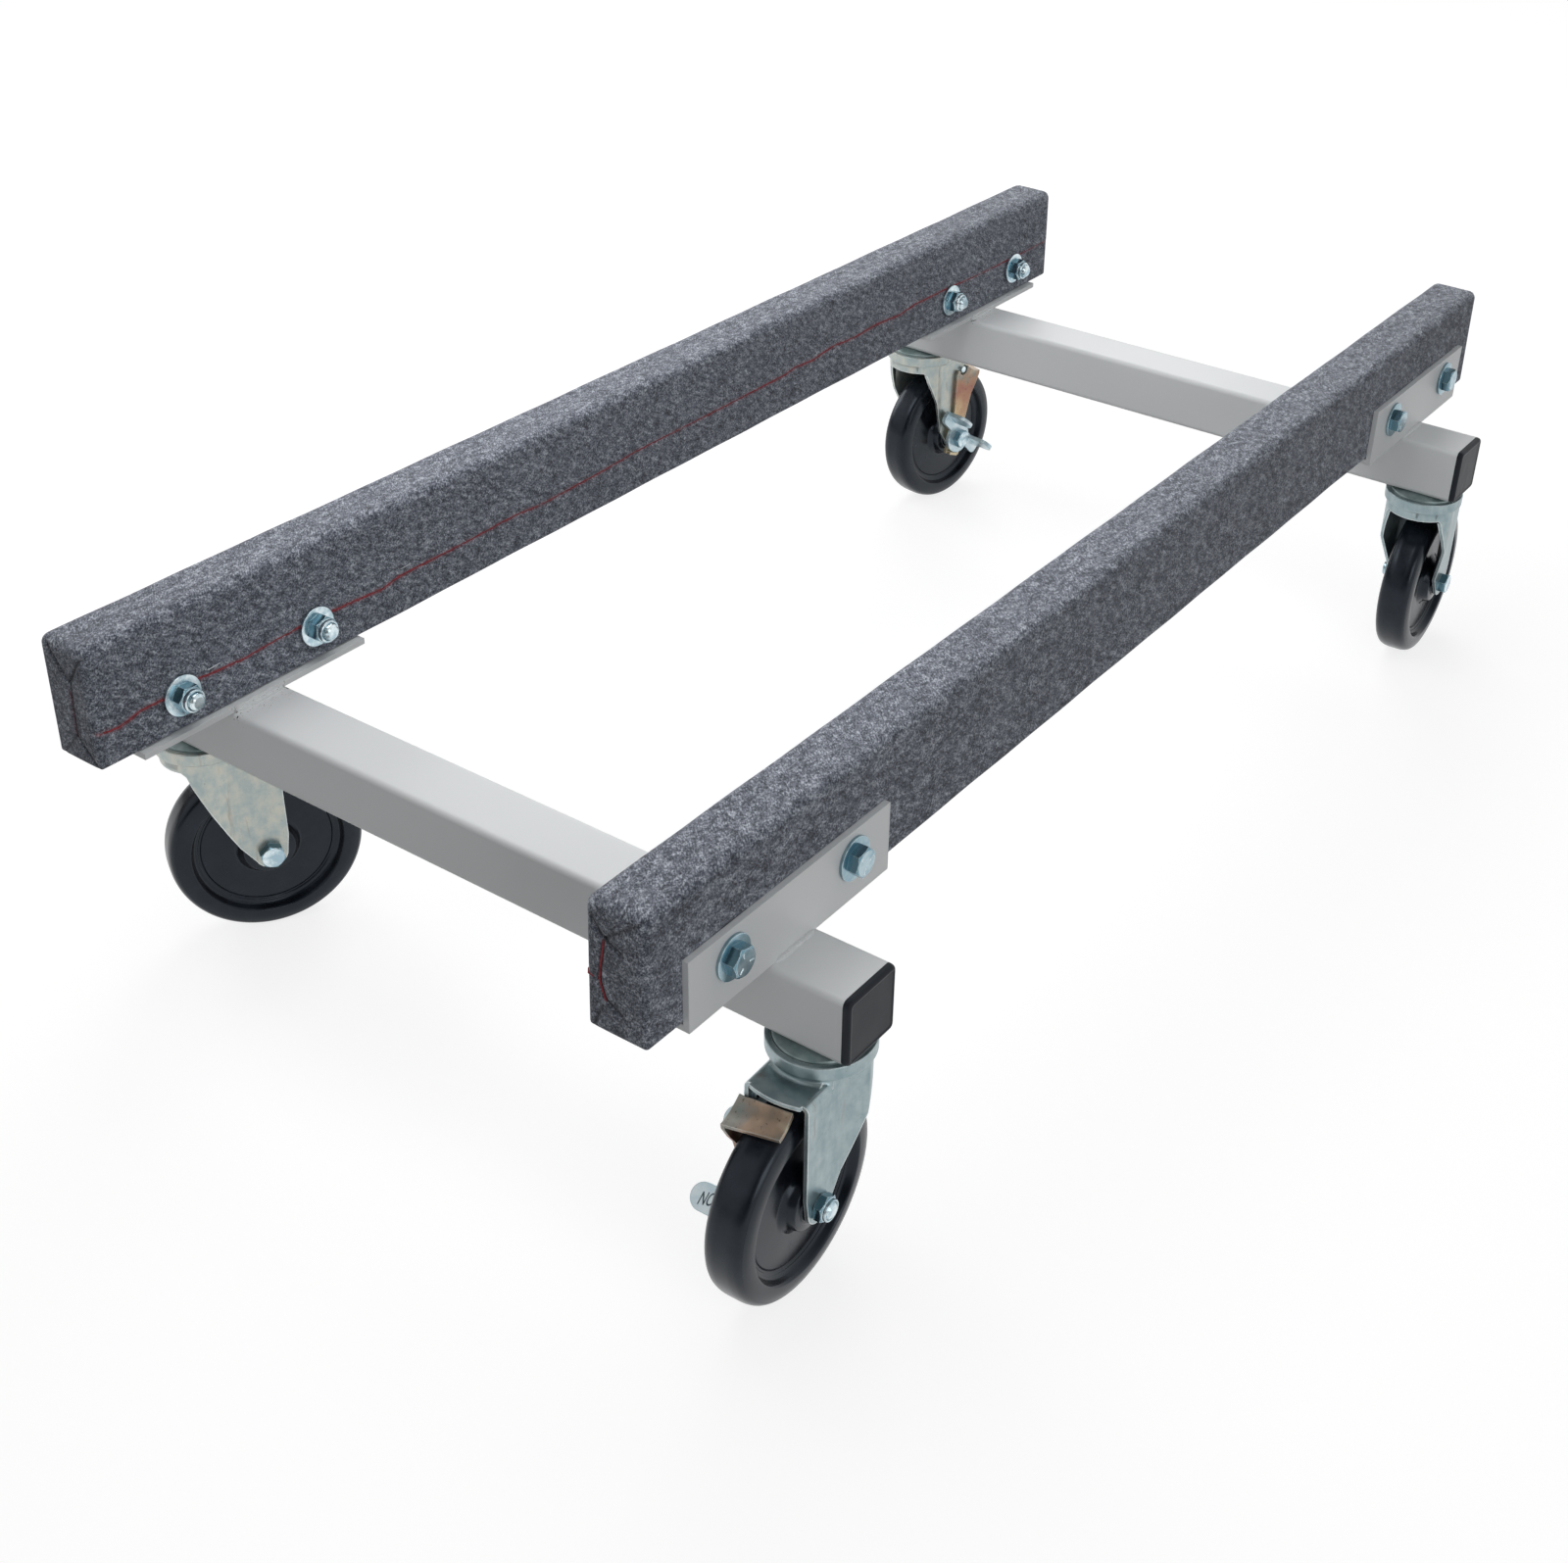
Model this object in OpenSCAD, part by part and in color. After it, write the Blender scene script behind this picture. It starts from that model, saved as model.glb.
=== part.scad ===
// Personal watercraft dolly: two felt-covered timber bunks bolted to angle brackets,
// welded on two square cross tubes that roll on four swivel casters.
// X runs along the cross tubes, Y along the bunks, Z up. The origin is on the floor,
// midway between the tubes and midway between the bunks. The front is the -Y end.

/* [Cross tubes] */
// Side of the square tube
tube_size = 50.8; // [40:0.1:60]
// Wall of the square tube
tube_wall = 3.2; // [2:0.1:5]
// Outside corner radius of the square tube
tube_corner = 4.5; // [3.5:0.5:7]
// Length of each cross tube without its end plugs
tube_len = 640; // [600:5:900]
// Distance between the two tubes, centre to centre
tube_spacing = 986; // [700:2:1050]

/* [End plugs] */
// Thickness of the plug's visible head
plug_head = 5; // [3:0.5:8]
// How far the plug's walls reach into the tube
plug_depth = 16; // [8:1:18]
// Wall of the plug's hollow insert
plug_wall = 3; // [2:0.5:5]

/* [Bunks] */
// Length of each covered bunk
bunk_len = 1254; // [1240:2:1800]
// Overall width across the two bunks' outer faces
bunk_outer = 522; // [460:2:524]
// Thickness of the timber board
board_w = 38.1; // [30:0.1:50]
// Height of the timber board
board_h = 88.9; // [75:0.1:140]
// Felt thickness on the board's two sides and its ends
felt_side = 3.3; // [1.5:0.1:6]
// Felt thickness over and under the board
felt_top = 2.2; // [1.5:0.1:6]
// Radius of the felt's outer edges
felt_round = 6; // [3:0.5:9]

/* [Angle brackets] */
// Length of each bracket along the bunk
bracket_len = 204; // [190:1:300]
// Thickness of the bracket's two legs
bracket_t = 4.6; // [3:0.1:8]
// Height of the upright leg above the tube
bracket_rise = 52; // [48:0.5:80]
// Width of the leg that lies on the tube
bracket_seat = 53.5; // [48:0.5:60]
// Leg of the weld fillets
weld_leg = 3.5; // [2:0.5:4]

/* [Bunk bolts] */
// Diameter of the bolts through the bunks
bolt_d = 12.7; // [10:0.1:14]
// Distance between a bracket's two bolts
bolt_pitch = 123.5; // [100:0.5:160]
// Height of the bolts above the tube's top
bolt_rise = 31.8; // [26:0.2:36]
// Hexagon of the bolt heads and nuts, across flats
bolt_af = 19; // [17:0.5:22]
// Height of a bolt head
bolt_head = 8; // [6:0.5:10]
// Height of a lock nut with its nylon collar
lock_nut_h = 12.5; // [10:0.5:15]
// Length of bolt that stands out of its lock nut
bolt_spare = 4; // [1:0.5:8]
// Outside diameter of the flat washers
washer_d = 31; // [26:0.5:35]
// Thickness of the flat washers
washer_t = 2.4; // [1.5:0.1:3.5]

/* [Casters] */
// Height from the floor to the underside of the tube
caster_h = 187.5; // [184:0.5:210]
// Distance from the middle of the dolly to each swivel axis
caster_x = 288; // [280:0.5:289]
// Distance from the swivel axis back to the wheel's axle
trail = 34.5; // [32:0.5:40]
// Swivel angle of the front left caster
turn_fl = 61; // [-180:1:180]
// Swivel angle of the front right caster
turn_fr = -88; // [-180:1:180]
// Swivel angle of the rear left caster
turn_rl = 82; // [-180:1:180]
// Swivel angle of the rear right caster
turn_rr = 92.5; // [-180:0.5:180]

/* [Swivel head] */
// Outside diameter of the rolled raceway ring
ring_d = 72; // [70:0.5:76]
// Thickness of the fork's steel
fork_t = 3; // [2:0.1:3.5]
// Width across the fork's flat legs
fork_w = 48; // [47:0.5:52]
// Distance from the swivel axis to the fork's front edge
fork_reach = 49.5; // [49:0.5:52]
// Diameter of the upper row of balls
ball_d = 6.2; // [5:0.1:6.4]
// Diameter of the lower row of balls
small_ball_d = 4.8; // [4:0.1:5]
// Diameter of the threaded stem
stem_d = 12; // [10:0.5:13]
// Length of thread inside the tube
stem_len = 15; // [14:0.5:24]

/* [Wheels] */
// Wheel diameter
wheel_d = 150; // [140:1:154]
// Width of the tread
wheel_w = 32; // [28:0.5:34]
// Length of the hub between the fork's legs
hub_len = 40; // [36:0.5:40.5]
// Rounding of the tread's edges
tread_round = 7; // [4:0.5:9]
// Diameter of the recess inside the rim
rim_in_d = 117; // [110:1:124]
// Thickness of the web between the hub and the rim
web_t = 18; // [10:0.5:22]
// Diameter of the axle bolts
axle_d = 12; // [10:0.5:13]
// Outside diameter of the steel sleeve round the axle bolt
sleeve_d = 16; // [15:0.5:17]
// Outside diameter of the bush in the hub
hub_bush_d = 20.2; // [19:0.2:24]

/* [Brakes] */
// Thickness of the strap that carries the brake shoe
strap_t = 3; // [2:0.1:3.2]
// Thickness of the brake lever
lever_t = 4; // [3:0.1:4.5]
// Thickness of the brake shoe
shoe_t = 2.5; // [2:0.1:3]
// Width of the shoe along the tread
shoe_w = 21.4; // [18:0.1:24]
// Length of the shoe across the wheel
shoe_len = 42; // [36:0.5:44]
// Gap between the shoe and the tread with the brake off
shoe_gap = 1.5; // [1:0.1:3]
// Angle that the lever turns from off to on
lever_turn = 40; // [25:1:45]
// Radius of the lever's cam with the brake off
cam_r = 17; // [15.5:0.1:18]
// Distance from the axle to the end of the lever's arms
arm_len = 38.5; // [34:0.5:44]
// How far each foot pedal stands out from the lever
pedal_len = 25; // [18:0.5:30]

/* [Hidden] */

$fn = 64;
eps = 0.01;
coat = [0.88, 0.89, 0.89];
zinc = [0.72, 0.77, 0.78];
yellow_zinc = [0.66, 0.55, 0.42];
felt = [0.36, 0.36, 0.38];
black = [0.10, 0.10, 0.11];

// Clearances: between solids of one piece of work, and between pieces that move
fit_gap = 0.05;
hole_gap = 0.25;
slide_gap = 0.3;

// Heights
tube_z0 = caster_h;
tube_z1 = tube_z0 + tube_size;
bolt_z = tube_z1 + bolt_rise;
bunk_z0 = tube_z1 + bracket_t;
bunk_h = board_h + 2 * felt_top;
bunk_w = board_w + 2 * felt_side;
bunk_x = bunk_outer / 2;
axle_z = wheel_d / 2;

// Fork levels, measured down from the underside of the tube
race_drop = 3.4;
ring_drop = 4.5;
disc_under = 8.8;
ball_drop = disc_under + 1.4;
floor_top = disc_under + 2.8;
floor_t = 4;
floor_under = floor_top + floor_t;
small_ball_drop = floor_under + 1.8;
lower_race_top = small_ball_drop + 1.4;
lower_race_t = 3.2;
lower_race_under = lower_race_top + lower_race_t;
crown_drop = 20.5;
crown_z1 = caster_h - crown_drop;
crown_z0 = crown_z1 - fork_t;
neck_r = ring_d / 2 - 3;
neck_fillet = 3;
race_r = ring_d / 2 - 4.5;
ball_r = ball_d / 2;
ball_pitch_r = 25;
ball_count = 20;
small_ball_r = small_ball_d / 2;
small_pitch_r = 13;
small_count = 14;
kingpin_r = 8;
groove_gap = 0.15;

// Fork plan
leg_out = fork_w / 2;
leg_in = leg_out - fork_t;
flare_u = 11.5;
flare_end_u = -6;
flare_end_v = sqrt(neck_r * neck_r - flare_end_u * flare_end_u);
fold_r = 5;
crown_bulge = 5;
leg_end_r = 13;
shoulder_u = -22;
waist_up = 49;
knee_up = 25.5;

// Axle stack
axle_head = 7.5;
axle_af = 17.5;
axle_nut_h = 9.5;
strap_v = leg_out + slide_gap;
lever_v = strap_v + strap_t + slide_gap;
axle_end = leg_out + axle_nut_h + 1;

// Brake geometry, in the plane of the wheel: u back from the swivel axis, z up.
// The shoe lies over the wheel at shoe_at from the vertical, and its face leans at shoe_lean.
// It is bent past square from the strap, by shoe_rise, and points a little forward, by shoe_skew.
axle_uz = [trail, axle_z];
slide_angle = 21;
slide_dir = [sin(slide_angle), cos(slide_angle)];
shoe_at = 19.3;
shoe_lean = 25.5;
shoe_rise = 9.7;
shoe_skew = 3.3;
shoe_in_r = 40;
shoe_out_r = shoe_in_r + shoe_t;
shoe_lift = 0.27;
shoe_mid = axle_uz + (wheel_d / 2 + shoe_gap + shoe_lift) * [sin(shoe_at), cos(shoe_at)];
shoe_centre = shoe_mid + shoe_in_r * [sin(shoe_lean), cos(shoe_lean)];
shoe_half = asin(shoe_w / 2 / shoe_in_r);
shoe_start = 270 - shoe_lean - shoe_half;
shoe_stop = 270 - shoe_lean + shoe_half;
strap_travel = shoe_gap - slide_gap;
rivet_back = 8;
rivet_up = 77;
rivet_uz = [trail + rivet_back, axle_z + rivet_up];
rivet_r = 3.4;
rivet_shank_r = 2.6;
notch_r = 6.2;
lever_tilt = -46;
arm_w = 14;
arm_low = -1;
arm_corner = 6;
arm_top_r = 2;
pedal_w = 19;

// Each caster: name, side, end, swivel angle, 1 if it has a brake
FL = [-1, -1, turn_fl, 0];
FR = [1, -1, turn_fr, 1];
RL = [-1, 1, turn_rl, 1];
RR = [1, 1, turn_rr, 0];

// Puts its children at a caster's swivel axis, unturned
module at_kingpin(c) {
    translate([c[0] * caster_x, c[1] * tube_spacing / 2, 0]) children();
}

// Puts its children at a caster's swivel axis and turns them: +X back to the axle, +Y to the left
module at_caster(c) {
    at_kingpin(c) rotate([0, 0, c[2]]) children();
}

// Extrudes a shape drawn in the wheel's plane from v0 to v1 across the wheel
module across(v0, v1) {
    translate([0, v1, 0]) rotate([90, 0, 0]) linear_extrude(v1 - v0) children();
}

// A round bar across the wheel at a point of its plane
module bar(uz, r, v0, v1) {
    translate([uz[0], v1, uz[1]]) rotate([90, 0, 0]) cylinder(r = r, h = v1 - v0);
}

// Hexagon bar with its end faces' corners chamfered, standing on z = 0
module hex_bar(af, h) {
    r = af / sqrt(3);
    dip = (r - af / 2) / 2;
    intersection() {
        cylinder(r = r, h = h, $fn = 6);
        rotate_extrude()
            polygon([[0, 0], [r, 0], [r, h - dip], [af / 2 - dip / 2, h], [0, h]]);
    }
}

// Lock nut with a round nylon collar, standing on z = 0
module lock_nut(af, h, bore_r) {
    hex_h = h * 0.72;
    difference() {
        union() {
            hex_bar(af, hex_h);
            cylinder(r = af / 2 - 0.8, h = h);
        }
        translate([0, 0, -eps]) cylinder(r = bore_r, h = h + 2 * eps);
    }
}

// Flat outline of the square tube, with rounded corners
module tube_outline(size, r) {
    s = size / 2 - r;
    square([size, 2 * s], center = true);
    square([2 * s, size], center = true);
    for (x = [-s, s], y = [-s, s])
        translate([x, y]) circle(r = r);
}

// Cross tube at one end of the dolly, with its two stem holes in the lower wall
module cross_tube(end) {
    y = end * tube_spacing / 2;
    color(coat)
    difference() {
        translate([-tube_len / 2, y, (tube_z0 + tube_z1) / 2])
        rotate([0, 90, 0])
        linear_extrude(tube_len)
        difference() {
            tube_outline(tube_size, tube_corner);
            tube_outline(tube_size - 2 * tube_wall, tube_corner - tube_wall);
        }
        for (side = [-1, 1])
            translate([side * caster_x, y, tube_z0 - eps])
                cylinder(r = stem_d / 2 + hole_gap, h = tube_wall + 2 * eps);
    }
}

module front_cross_tube() { cross_tube(-1); }
module rear_cross_tube() { cross_tube(1); }

// Plastic plug in a tube's end: a domed square head and a hollow insert
module end_plug() {
    inner = tube_size - 2 * tube_wall - 2 * fit_gap;
    step = 1.6;
    translate([tube_len / 2, 0, 0])
    rotate([0, 90, 0])
    difference() {
        union() {
            linear_extrude(plug_head - step) tube_outline(tube_size, tube_corner);
            linear_extrude(plug_head) tube_outline(tube_size - 2 * step, tube_corner);
            translate([0, 0, -plug_depth])
                linear_extrude(plug_depth) tube_outline(inner, 2);
        }
        translate([0, 0, -plug_depth - eps])
            linear_extrude(plug_depth) tube_outline(inner - 2 * plug_wall, 2);
    }
}

module tube_end_plugs() {
    color(black)
    for (side = [0, 1], end = [-1, 1])
        translate([0, end * tube_spacing / 2, (tube_z0 + tube_z1) / 2])
            mirror([side, 0, 0]) end_plug();
}

// Angle bracket: one leg flat on the tube under the bunk, one leg up its outer side
module bracket(side, end) {
    face = bunk_x + bracket_t;
    color(coat)
    translate([0, end * tube_spacing / 2, 0])
    mirror([side < 0 ? 1 : 0, 0, 0])
    difference() {
        translate([0, bracket_len / 2, tube_z1])
        rotate([90, 0, 0])
        linear_extrude(bracket_len)
        union() {
            translate([face - bracket_seat, 0]) square([bracket_seat, bracket_t]);
            translate([bunk_x, 0]) square([bracket_t, bracket_rise]);
        }
        for (y = [-1, 1])
            translate([bunk_x - 1, y * bolt_pitch / 2, bolt_z])
            rotate([0, 90, 0])
                cylinder(r = bolt_d / 2 + hole_gap, h = bracket_t + 2);
    }
}

module bracket_front_left() { bracket(-1, -1); }
module bracket_front_right() { bracket(1, -1); }
module bracket_rear_left() { bracket(-1, 1); }
module bracket_rear_right() { bracket(1, 1); }

// Hollow-faced fillet of weld metal, running along Y
module fillet(len, leg) {
    rotate([90, 0, 0])
    linear_extrude(len, center = true)
    difference() {
        square([leg, leg]);
        translate([leg * 1.3, leg * 1.3]) circle(r = leg * 1.03);
    }
}

// Fillets along a bracket's two long edges, where it crosses the tube
module weld_beads() {
    run = tube_size - 2 * tube_corner;
    lip_x = bunk_x + bracket_t - bracket_seat;
    color(coat)
    for (side = [0, 1], end = [-1, 1])
        mirror([side, 0, 0])
        translate([0, end * tube_spacing / 2, tube_z1]) {
            translate([bunk_x + bracket_t, 0, 0]) fillet(run, weld_leg);
            translate([lip_x, 0, 0]) mirror([1, 0, 0]) fillet(run, weld_leg);
        }
}

// Box whose edges and corners are all rounded, its lowest corner at the origin
module round_box(size, r) {
    s = [size[0] - r, size[1] - r, size[2] - r];
    translate([r, r, 0]) cube([s[0] - r, s[1] - r, size[2]]);
    translate([r, 0, r]) cube([s[0] - r, size[1], s[2] - r]);
    translate([0, r, r]) cube([size[0], s[1] - r, s[2] - r]);
    for (x = [r, s[0]], y = [r, s[1]])
        translate([x, y, r]) cylinder(r = r, h = s[2] - r);
    for (x = [r, s[0]], z = [r, s[2]])
        translate([x, s[1], z]) rotate([90, 0, 0]) cylinder(r = r, h = s[1] - r);
    for (y = [r, s[1]], z = [r, s[2]])
        translate([r, y, z]) rotate([0, 90, 0]) cylinder(r = r, h = s[0] - r);
    for (x = [r, s[0]], y = [r, s[1]], z = [r, s[2]])
        translate([x, y, z]) sphere(r = r);
}

// The four bolt holes through a bunk
module bunk_holes() {
    for (end = [-1, 1], y = [-1, 1])
        translate([bunk_x - bunk_w - 1, end * tube_spacing / 2 + y * bolt_pitch / 2, bolt_z])
        rotate([0, 90, 0])
            cylinder(r = bolt_d / 2 + hole_gap, h = bunk_w + 2);
}

// Solid timber board inside the felt
module board_block() {
    translate([bunk_x - felt_side - board_w, felt_side - bunk_len / 2, bunk_z0 + felt_top])
        cube([board_w, bunk_len - 2 * felt_side, board_h]);
}

module bunk_board(side) {
    color("burlywood")
    mirror([side < 0 ? 1 : 0, 0, 0])
    difference() {
        board_block();
        bunk_holes();
    }
}

module bunk_board_left() { bunk_board(-1); }
module bunk_board_right() { bunk_board(1); }

// Felt wrapped right round the board and folded shut over its ends
module bunk_felt(side) {
    color(felt)
    mirror([side < 0 ? 1 : 0, 0, 0])
    difference() {
        translate([bunk_x - bunk_w, -bunk_len / 2, bunk_z0])
            round_box([bunk_w, bunk_len, bunk_h], felt_round);
        board_block();
        bunk_holes();
    }
}

module bunk_felt_left() { bunk_felt(-1); }
module bunk_felt_right() { bunk_felt(1); }

// Repeats its children at the eight bunk bolts, +X outward
module at_bunk_bolts() {
    for (side = [0, 1], end = [-1, 1], y = [-1, 1])
        mirror([side, 0, 0])
        translate([0, end * tube_spacing / 2 + y * bolt_pitch / 2, bolt_z])
            children();
}

// Through bolt with its head outside the bracket and its end past the lock nut
module bunk_bolts() {
    head_x = bunk_x + bracket_t + washer_t;
    end_x = bunk_x - bunk_w - washer_t - lock_nut_h - bolt_spare;
    tip = 1.2;
    color(zinc)
    at_bunk_bolts() {
        translate([head_x, 0, 0]) rotate([0, 90, 0]) rotate([0, 0, 10]) hex_bar(bolt_af, bolt_head);
        translate([end_x, 0, 0]) rotate([0, 90, 0]) {
            cylinder(r1 = bolt_d / 2 - tip, r2 = bolt_d / 2, h = tip);
            translate([0, 0, tip]) cylinder(r = bolt_d / 2, h = head_x - end_x - tip);
        }
    }
}

module washer_ring() {
    rotate([0, 90, 0])
    difference() {
        cylinder(r = washer_d / 2, h = washer_t);
        translate([0, 0, -eps]) cylinder(r = bolt_d / 2 + hole_gap, h = washer_t + 2 * eps);
    }
}

// One washer under each head and one under each lock nut
module bunk_washers() {
    color(zinc)
    at_bunk_bolts() {
        translate([bunk_x + bracket_t, 0, 0]) washer_ring();
        translate([bunk_x - bunk_w - washer_t, 0, 0]) washer_ring();
    }
}

module bunk_lock_nuts() {
    color(zinc)
    at_bunk_bolts()
        translate([bunk_x - bunk_w - washer_t, 0, 0])
        rotate([0, -90, 0]) rotate([0, 0, 20])
            lock_nut(bolt_af, lock_nut_h, bolt_d / 2 + fit_gap);
}

// Repeats its children at the four swivel axes
module at_kingpins() {
    for (c = [FL, FR, RL, RR])
        at_kingpin(c) children();
}

stem_washer_t = 2.5;
stem_nut_h = 9.5;
stem_af = 18;

// Spring washers on the caster stems, inside the tubes
module stem_washers() {
    color(zinc)
    at_kingpins()
        translate([0, 0, tube_z0 + tube_wall])
        difference() {
            cylinder(r = stem_d / 2 + 4, h = stem_washer_t);
            translate([0, 0, -eps])
                cylinder(r = stem_d / 2 + hole_gap, h = stem_washer_t + 2 * eps);
        }
}

// Nuts on the caster stems, inside the tubes
module stem_nuts() {
    color(zinc)
    at_kingpins()
        translate([0, 0, tube_z0 + tube_wall + stem_washer_t])
        difference() {
            hex_bar(stem_af, stem_nut_h);
            translate([0, 0, -eps])
                cylinder(r = stem_d / 2 + fit_gap, h = stem_nut_h + 2 * eps);
        }
}

// Ring-shaped channel for a row of balls
module ball_groove(pitch_r, r, drop) {
    translate([0, 0, caster_h - drop])
        rotate_extrude() translate([pitch_r, 0]) circle(r = r + groove_gap);
}

// Fixed half of the swivel head: threaded stem, dished race and riveted king pin
module top_race(c) {
    head_r = 11;
    head_t = 3.5;
    color(zinc)
    at_kingpin(c)
    difference() {
        translate([0, 0, caster_h])
        rotate_extrude()
        polygon([
            [0, stem_len], [stem_d / 2 - 1, stem_len], [stem_d / 2, stem_len - 1], [stem_d / 2, 0],
            [22, 0], [race_r, -race_drop], [race_r, -disc_under], [kingpin_r + 3, -disc_under],
            [kingpin_r, -disc_under - 1.5], [kingpin_r, -lower_race_under],
            [head_r, -lower_race_under], [head_r - 1.5, -lower_race_under - head_t],
            [0, -lower_race_under - head_t]
        ]);
        ball_groove(ball_pitch_r, ball_r, ball_drop);
    }
}

module top_race_fl() { top_race(FL); }
module top_race_fr() { top_race(FR); }
module top_race_rl() { top_race(RL); }
module top_race_rr() { top_race(RR); }

// Lower race washers, held by the riveted ends of the king pins
module lower_races() {
    outer_r = 18;
    color(zinc)
    at_kingpins()
        difference() {
            translate([0, 0, caster_h - lower_race_under])
                cylinder(r = outer_r, h = lower_race_t);
            translate([0, 0, caster_h - lower_race_under - eps])
                cylinder(r = kingpin_r + fit_gap, h = lower_race_t + 2 * eps);
            ball_groove(small_pitch_r, small_ball_r, small_ball_drop);
        }
}

// A row of balls
module ball_row(count, pitch_r, r, drop) {
    for (i = [0:count - 1])
        rotate([0, 0, i * 360 / count])
            translate([pitch_r, 0, caster_h - drop]) sphere(r = r, $fn = 24);
}

module balls(c) {
    color(zinc)
    at_caster(c) {
        ball_row(ball_count, ball_pitch_r, ball_r, ball_drop);
        ball_row(small_count, small_pitch_r, small_ball_r, small_ball_drop);
    }
}

module balls_fl() { balls(FL); }
module balls_fr() { balls(FR); }
module balls_rl() { balls(RL); }
module balls_rr() { balls(RR); }

// Rolled ring and cup floor of the fork
module fork_head() {
    ring_r = ring_d / 2;
    lip_r = race_r + 0.5;
    bend = 2.5;
    difference() {
        translate([0, 0, caster_h])
        rotate_extrude()
        difference() {
            union() {
                translate([0, -floor_under]) square([ring_r - bend, floor_under - ring_drop - 1]);
                translate([0, -floor_under + bend])
                    square([ring_r, floor_under - ring_drop - bend - 1]);
                translate([ring_r - bend, -floor_under + bend]) circle(r = bend);
                translate([0, -ring_drop - 1]) square([ring_r - 1, 1]);
                translate([ring_r - 1, -ring_drop - 1]) circle(r = 1);
            }
            translate([-1, -floor_top]) square([neck_r + 1, floor_top - disc_under + 1]);
            translate([-1, -floor_top]) square([lip_r + 1, floor_top]);
            translate([-1, -floor_under - 1]) square([kingpin_r + slide_gap + 1, floor_t + 2]);
        }
        ball_groove(ball_pitch_r, ball_r, ball_drop);
        ball_groove(small_pitch_r, small_ball_r, small_ball_drop);
    }
}

// Half of a folded channel's outline, across the fork: flat top, round fold, straight leg
module fold_outline(half, top, r) {
    translate([-half, 0]) square([2 * half, top - r]);
    translate([-half + r, 0]) square([2 * half - 2 * r, top]);
    for (s = [-1, 1])
        translate([s * (half - r), top - r]) circle(r = r);
}

// Straight part of the fork: crown plate and two flat legs, folded from one sheet
module fork_channel() {
    translate([flare_u, 0, 0])
    rotate([90, 0, 90])
    linear_extrude(fork_reach - flare_u)
    difference() {
        fold_outline(leg_out, crown_z1, fold_r);
        fold_outline(leg_in, crown_z0, fold_r - fork_t);
    }
}

// Legs' rear edges, which open out to meet the round neck
module fork_flare() {
    inner_end_v = flare_end_v - fork_t;
    linear_extrude(crown_z1)
    for (s = [-1, 1])
        polygon([
            [flare_u, s * leg_in], [flare_u, s * leg_out],
            [flare_end_u, s * flare_end_v], [flare_end_u, s * inner_end_v]
        ]);
    linear_extrude(crown_z1)
    difference() {
        circle(r = neck_r);
        circle(r = neck_r - fork_t);
        translate([flare_end_u, -neck_r - 1]) square(2 * neck_r + 2);
    }
}

// Crown plate between the neck and the legs
module fork_crown() {
    bulge_r = (leg_out * leg_out + crown_bulge * crown_bulge) / (2 * crown_bulge);
    translate([0, 0, crown_z0])
    linear_extrude(fork_t)
    difference() {
        union() {
            polygon([
                [flare_u, leg_out], [flare_end_u, flare_end_v],
                [flare_end_u, -flare_end_v], [flare_u, -leg_out]
            ]);
            intersection() {
                translate([fork_reach + crown_bulge - bulge_r, 0]) circle(r = bulge_r);
                translate([flare_u, -leg_out + fold_r]) square([fork_reach, 2 * (leg_out - fold_r)]);
            }
        }
        circle(r = neck_r - fork_t);
    }
}

// Side outline of the legs, in the wheel's plane
module leg_outline() {
    waist_u = shoulder_u + 17;
    polygon([
        [-neck_r - 1, crown_z1], [-neck_r - 1, crown_z0 + 1], [shoulder_u, crown_z0],
        [shoulder_u + 3, crown_z0 - 3], [shoulder_u + 6, crown_z0 - 13],
        [waist_u, axle_z + waist_up], [waist_u + 10, axle_z + knee_up],
        [waist_u + 17, axle_z + knee_up / 2 - 2.5], [trail - leg_end_r + 1, axle_z - 5],
        [trail, axle_z - 8], [trail + leg_end_r, axle_z], [fork_reach, axle_z + 14],
        [fork_reach, crown_z1]
    ]);
    translate(axle_uz) circle(r = leg_end_r);
}

// Plan of the neck: round behind and in front, with flat sides in line with the legs
module neck_plan(inset) {
    flat_v = leg_out - inset;
    end_v = flare_end_v - inset;
    intersection() {
        circle(r = neck_r - inset);
        polygon([
            [ring_d, flat_v], [flare_u, flat_v], [flare_end_u, end_v], [flare_end_u, ring_d],
            [-ring_d, ring_d], [-ring_d, -ring_d],
            [flare_end_u, -ring_d], [flare_end_u, -end_v], [flare_u, -flat_v], [ring_d, -flat_v]
        ]);
    }
}

// Hollow-faced fillet where the neck rises from the crown plate
module neck_fillet() {
    foot = neck_r + neck_fillet;
    intersection() {
        translate([0, 0, crown_z1])
        rotate_extrude()
        difference() {
            translate([neck_r - 1, -1]) square([neck_fillet + 1, neck_fillet + 1]);
            translate([foot, neck_fillet]) circle(r = neck_fillet);
        }
        translate([flare_u, -leg_out + fold_r, crown_z1 - 1])
            cube([fork_reach - flare_u, 2 * (leg_out - fold_r), neck_fillet + 1]);
    }
}

module fork(c) {
    color(zinc)
    at_caster(c)
    difference() {
        union() {
            fork_head();
            translate([0, 0, crown_z0])
                linear_extrude(crown_drop + fork_t - floor_under + 1)
                difference() {
                    neck_plan(0);
                    neck_plan(fork_t);
                }
            neck_fillet();
            fork_crown();
            intersection() {
                union() {
                    fork_channel();
                    fork_flare();
                }
                across(-neck_r - 1, neck_r + 1) leg_outline();
            }
        }
        translate([0, 0, crown_z0 - 1])
            linear_extrude(crown_drop + fork_t - floor_under + 1) neck_plan(fork_t);
        bar(axle_uz, axle_d / 2 + fit_gap, -leg_out - 1, leg_out + 1);
        if (c[3] == 1)
            bar(rivet_uz, rivet_shank_r + fit_gap, -leg_out - 1, -leg_in + 1);
    }
}

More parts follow.
